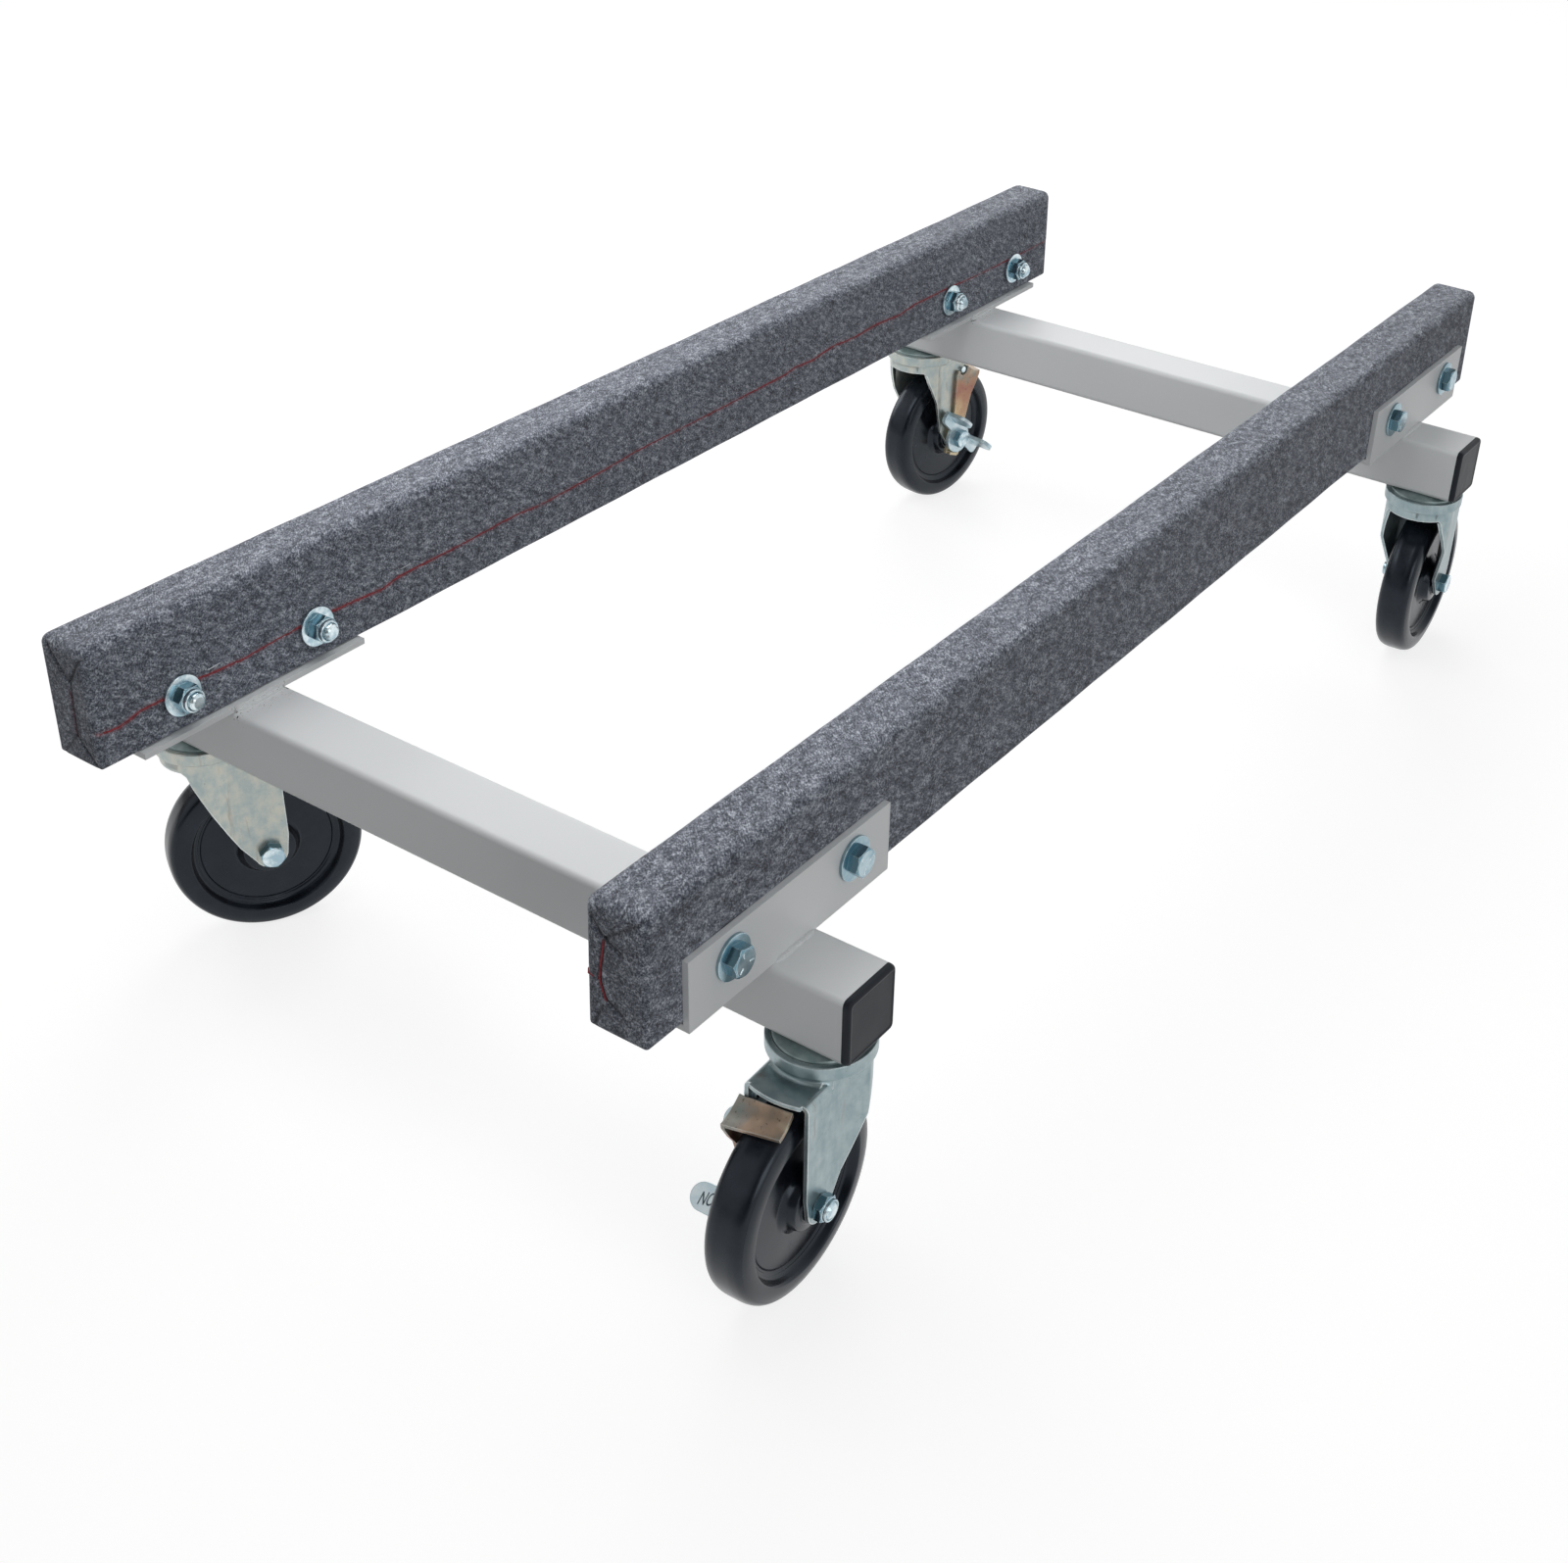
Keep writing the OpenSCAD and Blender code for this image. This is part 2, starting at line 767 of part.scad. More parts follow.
module fork_fl() { fork(FL); }
module fork_fr() { fork(FR); }
module fork_rl() { fork(RL); }
module fork_rr() { fork(RR); }

// Axle bolt: its head is on the caster's right, outside the brake lever where there is one
module axle_bolt(c) {
    head_v = c[3] == 1 ? lever_v + lever_t + slide_gap : leg_out;
    color(zinc)
    at_caster(c) {
        bar(axle_uz, axle_d / 2, -head_v, axle_end);
        translate([trail, -head_v, axle_z]) rotate([90, 0, 0]) hex_bar(axle_af, axle_head);
    }
}

module axle_bolt_fl() { axle_bolt(FL); }
module axle_bolt_fr() { axle_bolt(FR); }
module axle_bolt_rl() { axle_bolt(RL); }
module axle_bolt_rr() { axle_bolt(RR); }

module axle_nut(c) {
    color(zinc)
    at_caster(c)
        translate([trail, leg_out, axle_z]) rotate([-90, 0, 0])
            lock_nut(axle_af, axle_nut_h, axle_d / 2 + fit_gap);
}

module axle_nut_fl() { axle_nut(FL); }
module axle_nut_fr() { axle_nut(FR); }
module axle_nut_rl() { axle_nut(RL); }
module axle_nut_rr() { axle_nut(RR); }

// Steel sleeve that the legs are clamped on and the wheel turns on
module axle_sleeve(c) {
    color(zinc)
    at_caster(c)
    difference() {
        bar(axle_uz, sleeve_d / 2, -leg_in, leg_in);
        bar(axle_uz, axle_d / 2 + fit_gap, -leg_in - 1, leg_in + 1);
    }
}

module axle_sleeve_fl() { axle_sleeve(FL); }
module axle_sleeve_fr() { axle_sleeve(FR); }
module axle_sleeve_rl() { axle_sleeve(RL); }
module axle_sleeve_rr() { axle_sleeve(RR); }

// Half section of the wheel: hub, web and rim, with radius along X and width along Y
module wheel_section() {
    r = wheel_d / 2;
    w = wheel_w / 2;
    hub_r = hub_bush_d / 2 + fit_gap;
    rim_in = rim_in_d / 2;
    boss_r = 20.5;
    boss_foot = 26;
    flat_r = r - tread_round;
    bead_r = rim_in - 6.5;
    difference() {
        union() {
            polygon([
                [hub_r, -hub_len / 2], [boss_r, -hub_len / 2], [boss_foot, -web_t / 2],
                [rim_in - 1.5, -web_t / 2], [rim_in + 0.5, -w], [flat_r, -w],
                [flat_r, w], [rim_in + 0.5, w], [rim_in - 1.5, web_t / 2],
                [boss_foot, web_t / 2], [boss_r, hub_len / 2], [hub_r, hub_len / 2]
            ]);
            translate([flat_r - 2, tread_round - w])
                square([tread_round + 2, wheel_w - 2 * tread_round]);
            for (y = [tread_round - w, w - tread_round])
                translate([flat_r, y]) circle(r = tread_round);
        }
        for (y = [-web_t / 2, web_t / 2])
            translate([bead_r, y]) circle(r = 1.2);
    }
}

module wheel(c) {
    color(black)
    at_caster(c)
        translate([trail, 0, axle_z])
        rotate([90, 0, 0])
            rotate_extrude($fn = 96) wheel_section();
}

module wheel_fl() { wheel(FL); }
module wheel_fr() { wheel(FR); }
module wheel_rl() { wheel(RL); }
module wheel_rr() { wheel(RR); }

// Bush pressed into the hub
module hub_bush(c) {
    color("dimgray")
    at_caster(c)
    difference() {
        bar(axle_uz, hub_bush_d / 2, -hub_len / 2, hub_len / 2);
        bar(axle_uz, sleeve_d / 2 + fit_gap, -hub_len / 2 - 1, hub_len / 2 + 1);
    }
}

module hub_bush_fl() { hub_bush(FL); }
module hub_bush_fr() { hub_bush(FR); }
module hub_bush_rl() { hub_bush(RL); }
module hub_bush_rr() { hub_bush(RR); }

// Side outline of the strap: slotted foot on the axle, arm up to the shoe, notch for the rivet
module strap_outline() {
    side_dir = [slide_dir[1], -slide_dir[0]];
    ledge = axle_uz - (cam_r + slide_gap + strap_t) * slide_dir;
    shoe_back = shoe_centre + shoe_in_r * [cos(shoe_start), sin(shoe_start)];
    shoe_front = shoe_centre + shoe_in_r * [cos(shoe_stop), sin(shoe_stop)];
    slot_r = axle_d / 2 + slide_gap;
    foot_half = slot_r + 7;
    neck_up = 45;
    difference() {
        polygon([
            ledge - 9 * side_dir, ledge + 14 * side_dir,
            axle_uz + [foot_half + 1.7, -8], axle_uz + [foot_half + 1.7, 18],
            axle_uz + [foot_half + 9.7, neck_up], shoe_front - [6.5, 15],
            shoe_front - [0.5, 4], shoe_front, shoe_back,
            rivet_uz + [notch_r + 1.4, 2.5], rivet_uz + [notch_r, 0],
            rivet_uz - [notch_r + 2.3, 0], rivet_uz - [notch_r + 4.3, 4.5],
            axle_uz + [-4, 31], axle_uz + [2 - foot_half, 2], axle_uz + [-foot_half, -8]
        ]);
        translate(shoe_centre) circle(r = shoe_in_r);
        translate(rivet_uz - [notch_r, 0]) square([2 * notch_r, 20]);
        translate(rivet_uz) circle(r = notch_r);
        translate(axle_uz) circle(r = slot_r);
        translate(axle_uz + strap_travel * slide_dir) circle(r = slot_r);
        translate(axle_uz) rotate(-slide_angle) translate([-slot_r, 0])
            square([2 * slot_r, strap_travel]);
    }
}

// Curved section of the brake shoe
module shoe_section() {
    translate(shoe_centre)
    intersection() {
        difference() {
            circle(r = shoe_out_r);
            circle(r = shoe_in_r);
        }
        polygon([
            [0, 0],
            2 * shoe_out_r * [cos(shoe_start), sin(shoe_start)],
            2 * shoe_out_r * [cos(shoe_stop), sin(shoe_stop)]
        ]);
    }
}

// Shoe, bent past square, and cut clear of the leg that it passes in front of
module brake_shoe() {
    bend_v = -strap_v - strap_t;
    back_u = fork_reach + slide_gap + strap_travel * sin(slide_angle);
    intersection() {
        translate([shoe_mid[0], bend_v, shoe_mid[1]])
        rotate([shoe_rise, 0, shoe_skew])
        translate([-shoe_mid[0], 0, -shoe_mid[1]])
            across(-strap_t, shoe_len) shoe_section();
        translate([back_u, bend_v, shoe_mid[1] - shoe_len])
            cube([2 * shoe_w, 2 * shoe_len, 2 * shoe_len]);
    }
}

// Strap and shoe, one pressing: it slides along a line through the axle
module brake_strap(c) {
    ledge_in = cam_r + slide_gap;
    ledge_v = lever_v + lever_t + 1;
    color(yellow_zinc)
    at_caster(c) {
        across(-strap_v - strap_t, -strap_v) strap_outline();
        brake_shoe();
        translate([trail, 0, axle_z])
        rotate([0, slide_angle, 0])
        translate([-8, -ledge_v, -ledge_in - strap_t])
            cube([13, ledge_v - strap_v, strap_t]);
    }
}

module brake_strap_fr() { brake_strap(FR); }
module brake_strap_rl() { brake_strap(RL); }

// Outline of the lever's cam: its reach grows at a steady rate over the angle that it turns,
// so it lifts the strap's flat ledge by the same amount with every degree
module cam_outline() {
    start = 270 - slide_angle;
    rate = strap_travel / lever_turn;
    lead = rate * 180 / PI;
    steps = 16;
    lobe = [for (i = [0:steps])
        let (turned = i * lever_turn / steps, a = start + turned)
        (cam_r + rate * turned) * [cos(a), sin(a)] + lead * [-sin(a), cos(a)]];
    tip_r = norm([cam_r + strap_travel, lead]);
    tip_a = start + lever_turn + atan(lead / (cam_r + strap_travel));
    back = [for (a = [6:6:24]) tip_r * [cos(tip_a + a), sin(tip_a + a)]];
    polygon(concat([[0, 0], cam_r * [cos(start), sin(start)]], lobe, back));
    circle(r = cam_r);
}

// Flat plate of the lever: the cam in its middle and an arm to either side
module lever_plate() {
    end_t = arm_len - arm_corner;
    side_n = arm_low + arm_corner;
    top_n = arm_low + arm_w;
    cam_outline();
    rotate(lever_tilt) {
        translate([-end_t, arm_low]) square([2 * end_t, arm_w]);
        for (s = [0, 1])
            mirror([s, 0]) {
                translate([end_t, side_n]) circle(r = arm_corner);
                translate([end_t - 1, side_n]) square([arm_corner + 1, arm_w - arm_corner - arm_top_r]);
                translate([end_t - 1, side_n]) square([arm_corner + 1 - arm_top_r, top_n - side_n]);
                translate([arm_len - arm_top_r, top_n - arm_top_r]) circle(r = arm_top_r);
            }
    }
}

// Foot pedal, bent out square from the top edge of one arm
module pedal() {
    end_v = lever_v + lever_t + pedal_len;
    half = pedal_w / 2;
    translate([arm_len - 2.5 - half, 0, arm_low + arm_w - lever_t])
    linear_extrude(lever_t) {
        translate([-half, -end_v + half]) square([pedal_w, end_v - half - lever_v - lever_t / 2]);
        translate([0, -end_v + half]) circle(r = half);
    }
}

// Brake lever: a cam on the axle with a pedal at each end, one to put the brake on and one off
module brake_lever(c) {
    color(zinc)
    at_caster(c)
    difference() {
        translate([trail, 0, axle_z]) {
            across(-lever_v - lever_t, -lever_v) lever_plate();
            rotate([0, -lever_tilt, 0])
            for (s = [0, 1])
                mirror([s, 0, 0]) pedal();
        }
        bar(axle_uz, axle_d / 2 + fit_gap, -lever_v - lever_t - 1, -lever_v + 1);
    }
}

module brake_lever_fr() { brake_lever(FR); }
module brake_lever_rl() { brake_lever(RL); }

// Rivet in the fork's right leg that keeps the strap's upper end in line
module brake_rivet(c) {
    inside = 3;
    color(zinc)
    at_caster(c) {
        bar(rivet_uz, rivet_shank_r, -leg_out, inside - leg_in);
        bar(rivet_uz, rivet_r, -leg_out - strap_t, -leg_out);
    }
}

module brake_rivet_fr() { brake_rivet(FR); }
module brake_rivet_rl() { brake_rivet(RL); }

front_cross_tube();
rear_cross_tube();
bracket_front_left();
bracket_front_right();
bracket_rear_left();
bracket_rear_right();
weld_beads();
tube_end_plugs();
bunk_board_left();
bunk_board_right();
bunk_felt_left();
bunk_felt_right();
bunk_bolts();
bunk_washers();
bunk_lock_nuts();
stem_nuts();
stem_washers();
lower_races();
top_race_fl();
top_race_fr();
top_race_rl();
top_race_rr();
fork_fl();
fork_fr();
fork_rl();
fork_rr();
balls_fl();
balls_fr();
balls_rl();
balls_rr();
axle_bolt_fl();
axle_bolt_fr();
axle_bolt_rl();
axle_bolt_rr();
axle_nut_fl();
axle_nut_fr();
axle_nut_rl();
axle_nut_rr();
axle_sleeve_fl();
axle_sleeve_fr();
axle_sleeve_rl();
axle_sleeve_rr();
wheel_fl();
wheel_fr();
wheel_rl();
wheel_rr();
hub_bush_fl();
hub_bush_fr();
hub_bush_rl();
hub_bush_rr();
brake_strap_fr();
brake_strap_rl();
brake_lever_fr();
brake_lever_rl();
brake_rivet_fr();
brake_rivet_rl();
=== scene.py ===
"""Looks of a personal watercraft dolly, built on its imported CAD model, in metres."""

import math

import bmesh
import bpy
import numpy as np
from mathutils import Matrix, Vector


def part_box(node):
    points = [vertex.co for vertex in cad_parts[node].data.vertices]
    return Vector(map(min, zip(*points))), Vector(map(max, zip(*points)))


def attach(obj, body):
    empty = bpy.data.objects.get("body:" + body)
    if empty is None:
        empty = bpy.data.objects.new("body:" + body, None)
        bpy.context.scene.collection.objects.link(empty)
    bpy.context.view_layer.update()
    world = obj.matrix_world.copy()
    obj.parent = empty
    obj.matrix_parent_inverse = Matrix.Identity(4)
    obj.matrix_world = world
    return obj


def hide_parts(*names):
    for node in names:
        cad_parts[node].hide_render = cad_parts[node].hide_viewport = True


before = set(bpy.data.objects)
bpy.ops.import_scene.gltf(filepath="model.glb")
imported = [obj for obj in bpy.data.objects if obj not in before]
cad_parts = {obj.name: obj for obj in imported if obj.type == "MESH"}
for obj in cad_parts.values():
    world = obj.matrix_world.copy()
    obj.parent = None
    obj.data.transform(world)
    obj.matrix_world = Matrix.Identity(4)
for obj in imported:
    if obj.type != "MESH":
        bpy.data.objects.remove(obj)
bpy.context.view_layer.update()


# Camera and studio. The dolly stands on a white floor in a white room, seen from its front
# right corner, about a metre above the floor. Soft boxes stand behind it, to its left and to its
# right, and a small one hangs over it, turned to the rear tube.

camera_place = (0.8518, -1.3062, 1.0264)
camera_turn = math.radians(33.987)
camera_drop = math.radians(32.469)
camera_lean = math.radians(1.883)
lens_mm = 47.55
lens_shift = (-0.0435, -0.0257)

back = Vector((
    math.sin(camera_turn) * math.cos(camera_drop),
    -math.cos(camera_turn) * math.cos(camera_drop),
    math.sin(camera_drop),
))
level = Vector((math.cos(camera_turn), math.sin(camera_turn), 0))
above = back.cross(level)
across = level * math.cos(camera_lean) + above * math.sin(camera_lean)
upward = above * math.cos(camera_lean) - level * math.sin(camera_lean)

camera = bpy.data.objects.new("camera", bpy.data.cameras.new("camera"))
bpy.context.scene.collection.objects.link(camera)
camera.matrix_world = Matrix.Translation(camera_place) @ Matrix((across, upward, back)).transposed().to_4x4()
camera.data.lens = lens_mm
camera.data.sensor_width = 36
camera.data.shift_x, camera.data.shift_y = lens_shift
camera.data.clip_start = 0.05
bpy.context.scene.camera = camera
bpy.context.scene.view_settings.view_transform = "Standard"


def soft_box(name, place, aim, size, power, colour=(1, 1, 1)):
    """A square lamp of a given size in metres at a place, facing the point that it is aimed at."""
    light = bpy.data.lights.new(name, "AREA")
    light.shape = "RECTANGLE"
    light.size, light.size_y = size
    light.energy = power
    light.color = colour
    lamp = bpy.data.objects.new(name, light)
    bpy.context.scene.collection.objects.link(lamp)
    turn = (Vector(place) - Vector(aim)).to_track_quat("Z", "Y")
    lamp.matrix_world = Matrix.Translation(place) @ turn.to_matrix().to_4x4()


soft_box("back_box", (-1.2, 2.05, 2.0), (0, 0, 0.2), (1.5, 1.8), 25)
soft_box("left_box", (-2.8, 0.1, 1.25), (0, 0, 0.2), (1.4, 1.4), 21)
soft_box("right_box", (2.45, -1.3, 1.25), (0, 0, 0.2), (1.4, 1.4), 12.5)
soft_box("middle_box", (-0.2, -0.25, 1.2), (0, 0.6, 0.2), (0.9, 0.9), 5.4)


class Wire:
    """One output of a material's nodes. Arithmetic on it adds Math nodes."""

    def __init__(self, finish, socket):
        self.finish, self.socket = finish, socket

    def math(self, operation, first, second):
        return self.finish.node("Math", {"operation": operation}, {0: first, 1: second})

    def __add__(self, other):
        return self.math("ADD", self, other)

    def __radd__(self, other):
        return self.math("ADD", other, self)

    def __sub__(self, other):
        return self.math("SUBTRACT", self, other)

    def __rsub__(self, other):
        return self.math("SUBTRACT", other, self)

    def __mul__(self, other):
        return self.math("MULTIPLY", self, other)

    def __rmul__(self, other):
        return self.math("MULTIPLY", other, self)

    def most(self, other):
        return self.math("MAXIMUM", self, other)

    def unsigned(self):
        return self.finish.node("Math", {"operation": "ABSOLUTE"}, {0: self})

    def along(self, way):
        """How far a vector reaches along a direction."""
        return self.finish.node("VectorMath", {"operation": "DOT_PRODUCT"}, {0: self, 1: way}, "Value")

    def step(self, low, high):
        """0 below low, 1 above high and smooth between them; high may be the lower one."""
        return self.finish.node(
            "MapRange", {"interpolation_type": "SMOOTHSTEP"},
            {"Value": self, "From Min": low, "From Max": high},
        )


class Nodes:
    """A tree of shader nodes that new ones are added to."""

    def __init__(self, tree):
        self.tree = tree

    def node(self, kind, settings, inputs, output=0):
        """Adds a node, sets its settings, then gives its sockets their values or links."""
        made = self.tree.nodes.new("ShaderNode" + kind)
        for name, value in settings.items():
            if name == "stops":
                while len(made.color_ramp.elements) < len(value):
                    made.color_ramp.elements.new(0.5)
                for element, (at, tint) in zip(made.color_ramp.elements, value):
                    element.position = at
                    element.color = (*tint, 1)
            else:
                setattr(made, name, value)
        for key, value in inputs.items():
            socket = made.inputs[key]
            if isinstance(value, Wire):
                self.tree.links.new(value.socket, socket)
            else:
                socket.default_value = (*value, 1) if socket.type == "RGBA" else value
        return Wire(self, made.outputs[output])

    def ray(self, *kinds):
        """1 for a ray of one of the kinds, such as one that the camera sees, and 0 for any other."""
        total = self.node("LightPath", {}, {}, f"Is {kinds[0]} Ray")
        for kind in kinds[1:]:
            total = total.most(self.node("LightPath", {}, {}, f"Is {kind} Ray"))
        return total


class Finish(Nodes):
    """A material made of nodes round one Principled shader. Its fixed values are named when it is
    made, and what varies over the surface is joined to a socket of the shader later."""

    def __init__(self, name, colour=(0.8, 0.8, 0.8), **fixed):
        self.material = bpy.data.materials.new(name)
        self.material.use_nodes = True
        super().__init__(self.material.node_tree)
        self.shader = self.tree.nodes["Principled BSDF"]
        self.shader.inputs["Base Color"].default_value = (*colour, 1)
        for socket, value in fixed.items():
            self.shader.inputs[socket.replace("_", " ").title().replace("Ior", "IOR")].default_value = value
        self.place = self.node("TexCoord", {}, {}, "Object")

    def axis(self, number):
        """Place on the surface along x, y or z, as 0, 1 or 2."""
        return self.node("SeparateXYZ", {}, {0: self.place}, number)

    def noise(self, scale, detail=2, rough=0.5, stretch=(1, 1, 1), at=None):
        """Cloudy noise with so many cells to the metre, stretched along the axes."""
        place = self.node(
            "Mapping", {}, {"Vector": at or self.place, "Scale": [scale * s for s in stretch]},
        )
        return self.node("TexNoise", {}, {"Vector": place, "Scale": 1, "Detail": detail, "Roughness": rough})

    def ramp(self, value, *stops):
        """Colours at places from 0 to 1, picked by a value."""
        return self.node("ValToRGB", {"stops": stops}, {0: value})

    def mix(self, share, first, second):
        """Colour that goes from the first to the second as share goes from 0 to 1."""
        return self.node("Mix", {"data_type": "RGBA"}, {0: share, 6: first, 7: second}, 2)

    def give(self, socket, wire):
        self.tree.links.new(wire.socket, self.shader.inputs[socket])

    def relief(self, height, depth, edge=None):
        """Bump of a depth in metres, over edges that look rounded to a radius in metres."""
        inputs = {"Height": height, "Distance": depth, "Strength": 1.0}
        if edge:
            inputs["Normal"] = self.node("Bevel", {"samples": 4}, {"Radius": edge})
        self.give("Normal", self.node("Bump", {}, inputs))

    def along_edges(self, radius):
        """1 close to the sharp edges, where a rounded edge would turn away from its faces, and 0
        on the faces."""
        eased_way = self.node("Bevel", {"samples": 6}, {"Radius": radius})
        straight_way = self.node("NewGeometry", {}, {}, "Normal")
        return eased_way.along(straight_way).step(0.995, 0.93)


room_light = 0.3
world = bpy.data.worlds.new("white_room")
bpy.context.scene.world = world
world.use_nodes = True
room = Nodes(world.node_tree)
way = room.node("TexCoord", {}, {}, "Generated")
from_back = way.along((0.45, 0.75, -0.3)).step(-0.55, 0.6)
from_window = way.along((-0.45, -0.69, 0.57)).step(0.72, 0.96)
mirrored = room.ray("Glossy") * (0.1 + 0.9 * from_back + 0.7 * from_window)
unseen = room_light * (1 - room.ray("Camera", "Glossy", "Transmission"))
sky = world.node_tree.nodes["Background"]
sky.inputs["Color"].default_value = (1, 1, 1, 1)
seen_strength = room.ray("Camera", "Transmission").most(mirrored).most(unseen)
world.node_tree.links.new(seen_strength.socket, sky.inputs["Strength"])

floor_half = 12
floor_mesh = bpy.data.meshes.new("floor")
floor_mesh.from_pydata(
    [(x * floor_half, y * floor_half, 0) for x, y in ((-1, -1), (1, -1), (1, 1), (-1, 1))],
    [], [(0, 1, 2, 3)],
)
floor = bpy.data.objects.new("floor", floor_mesh)
bpy.context.scene.collection.objects.link(floor)
floor_paint = Finish("floor_paint", colour=(0.3, 0.3, 0.3), roughness=0.9, specular_ior_level=0)
far_off = floor_paint.node("VectorMath", {"operation": "LENGTH"}, {0: floor_paint.place}, "Value")
seen_floor = floor_paint.ray("Camera", "Glossy", "Transmission")
floor_paint.give("Emission Strength", (0.8 + 0.12 * far_off.step(1.5, 5)) * seen_floor)
floor_paint.shader.inputs["Emission Color"].default_value = (1, 1, 1, 1)
floor_mesh.materials.append(floor_paint.material)


# Cross tubes and angle brackets. The tubes are square steel, 2 inches wide. Each bracket is a
# steel angle, welded across a tube's top. All of it is powder coated white after welding, and the
# coat has a faint orange peel, with a few brown specks beside the welds. At the welds' ends, near
# black dots are painted shade, standing for the dark insides of small pits.

tube_top = 0.2383
tube_half = 0.0254
tube_y = 0.493
bracket_inside, bracket_outside = 0.2121, 0.2656

powder_coat = Finish("powder_coat", colour=(0.8, 0.81, 0.82), roughness=0.4)
peel = powder_coat.noise(650, detail=1)
shade = powder_coat.noise(9, detail=3)
out_from_middle = powder_coat.axis(0).unsigned()
off_tube = (powder_coat.axis(1).unsigned() - tube_y).unsigned()
coat_height = powder_coat.axis(2)
inward = out_from_middle.step(bracket_inside + 0.0004, bracket_inside - 0.0006)
beside_weld = out_from_middle.step(0.19, 0.208) * inward
near_weld = beside_weld * coat_height.step(0.228, 0.235) * off_tube.step(0.033, 0.027)
specks = near_weld * powder_coat.noise(900, detail=2).step(0.655, 0.69)
on_bead = coat_height.step(0.2345, 0.236) * out_from_middle.step(0.2055, 0.2075) * inward
weld_end = on_bead * off_tube.step(0.0205, 0.022) * off_tube.step(0.0262, 0.0256)
# Painted shade: near black dots where the beads end at the tube's edges, for the shade inside small pits.
pit_shade = weld_end * powder_coat.noise(420, detail=1).step(0.53, 0.57)
white = powder_coat.mix(shade, (0.77, 0.79, 0.8), (0.82, 0.84, 0.85))
specked = powder_coat.mix(specks, white, (0.2, 0.13, 0.08))
powder_coat.give("Base Color", powder_coat.mix(pit_shade, specked, (0.03, 0.022, 0.018)))
powder_coat.give("Roughness", 0.36 + 0.1 * shade)
powder_coat.relief(peel, 0.00003, edge=0.0008)


def dress(finish, *names):
    """Gives CAD nodes a finish in place of their plain one."""
    for name in names:
        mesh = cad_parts[name].data
        mesh.materials.clear()
        mesh.materials.append(finish.material)


dress(powder_coat, "front_cross_tube", "rear_cross_tube")
dress(powder_coat, *(f"bracket_{end}_{side}" for end in ("front", "rear") for side in ("left", "right")))


# Weld beads. Each is a row of overlapping crescents along a bracket's long edge where it crosses
# the tube, thin at both ends, and painted over with the rest.

bead_leg = 0.0033
bead_run = 0.0415
bead_sunk = 0.0004
merge_within = 1e-6


def piece(name, grids, finish, body, stands_for=(), sharp=35, marks=None, turned_out=True):
    """Makes one piece from grids of points, each an array (rows, columns, 3), with a quad between
    each four neighbours. Points that coincide are merged, which closes seams and poles."""
    faces, start = [], 0
    for grid in grids:
        rows, columns = grid.shape[:2]
        index = start + np.arange(rows * columns).reshape(rows, columns)
        quads = [index[:-1, :-1], index[1:, :-1], index[1:, 1:], index[:-1, 1:]]
        faces.append(np.stack(quads, -1).reshape(-1, 4))
        start += rows * columns
    mesh = bpy.data.meshes.new(name)
    points = np.concatenate([grid.reshape(-1, 3) for grid in grids])
    mesh.from_pydata(points, [], np.concatenate(faces).tolist())
    for mark, values in (marks or {}).items():
        layer = mesh.attributes.new(mark, "FLOAT", "POINT")
        layer.data.foreach_set("value", np.concatenate([v.ravel() for v in values]).astype(np.float32))
    merged = bmesh.new()
    merged.from_mesh(mesh)
    bmesh.ops.remove_doubles(merged, verts=merged.verts, dist=merge_within)
    if turned_out:
        bmesh.ops.recalc_face_normals(merged, faces=merged.faces)
    merged.to_mesh(mesh)
    merged.free()
    mesh.shade_smooth()
    mesh.set_sharp_from_angle(angle=math.radians(sharp))
    mesh.materials.append(finish.material)
    made = bpy.data.objects.new(name, mesh)
    bpy.context.scene.collection.objects.link(made)
    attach(made, body)
    if stands_for:
        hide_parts(*stands_for)
    return made


def bead(x, y, side):
    """Surface of a bead that runs along Y from the foot of an edge at x: its section bulges between
    the two legs, by a saw of crescents along the run, and shrinks to nothing at both ends."""
    run = np.linspace(-1, 1, 150)[:, None]
    round_it = np.linspace(0, 1, 13)
    along = run * bead_run / 2
    uneven = 1 + 0.07 * np.sin(along * 700 + x * 90) + 0.05 * np.sin(along * 1900 + y * 50)
    full = (1 - run ** 6) ** 0.5 * uneven
    crescent = (along * 1000 / 2.1 + 0.9 * (2 * round_it - 1) ** 2) % 1
    swell = 0.86 + 0.2 * np.sin(math.pi * round_it) + 0.1 * crescent * np.sin(math.pi * round_it)
    turn = round_it * math.pi / 2
    reach = bead_leg * full * swell / np.maximum(np.cos(turn), np.sin(turn)) ** 0.55
    skin_x = x + side * (reach * np.cos(turn) - bead_sunk)
    skin_z = tube_top - bead_sunk + reach * np.sin(turn)
    skin = np.stack(np.broadcast_arrays(skin_x, y + along, skin_z), -1)
    heel = np.stack(np.broadcast_arrays(x - side * bead_sunk, y + along, tube_top - bead_sunk), -1)
    return np.concatenate([heel, skin, heel], 1)


beads = [
    bead(side * edge, end * tube_y, side * away)
    for end in (-1, 1) for side in (-1, 1) for edge, away in ((bracket_outside, 1), (bracket_inside, -1))
]
piece("weld_runs", beads, powder_coat, "frame", stands_for=["weld_beads"], sharp=60)


# End plugs. A moulded black plug is knocked into each tube's open end. Its head covers the tube's
# cut edge: a wide rounded rim with a flat face inside it. A hollow square wall grips the tube.

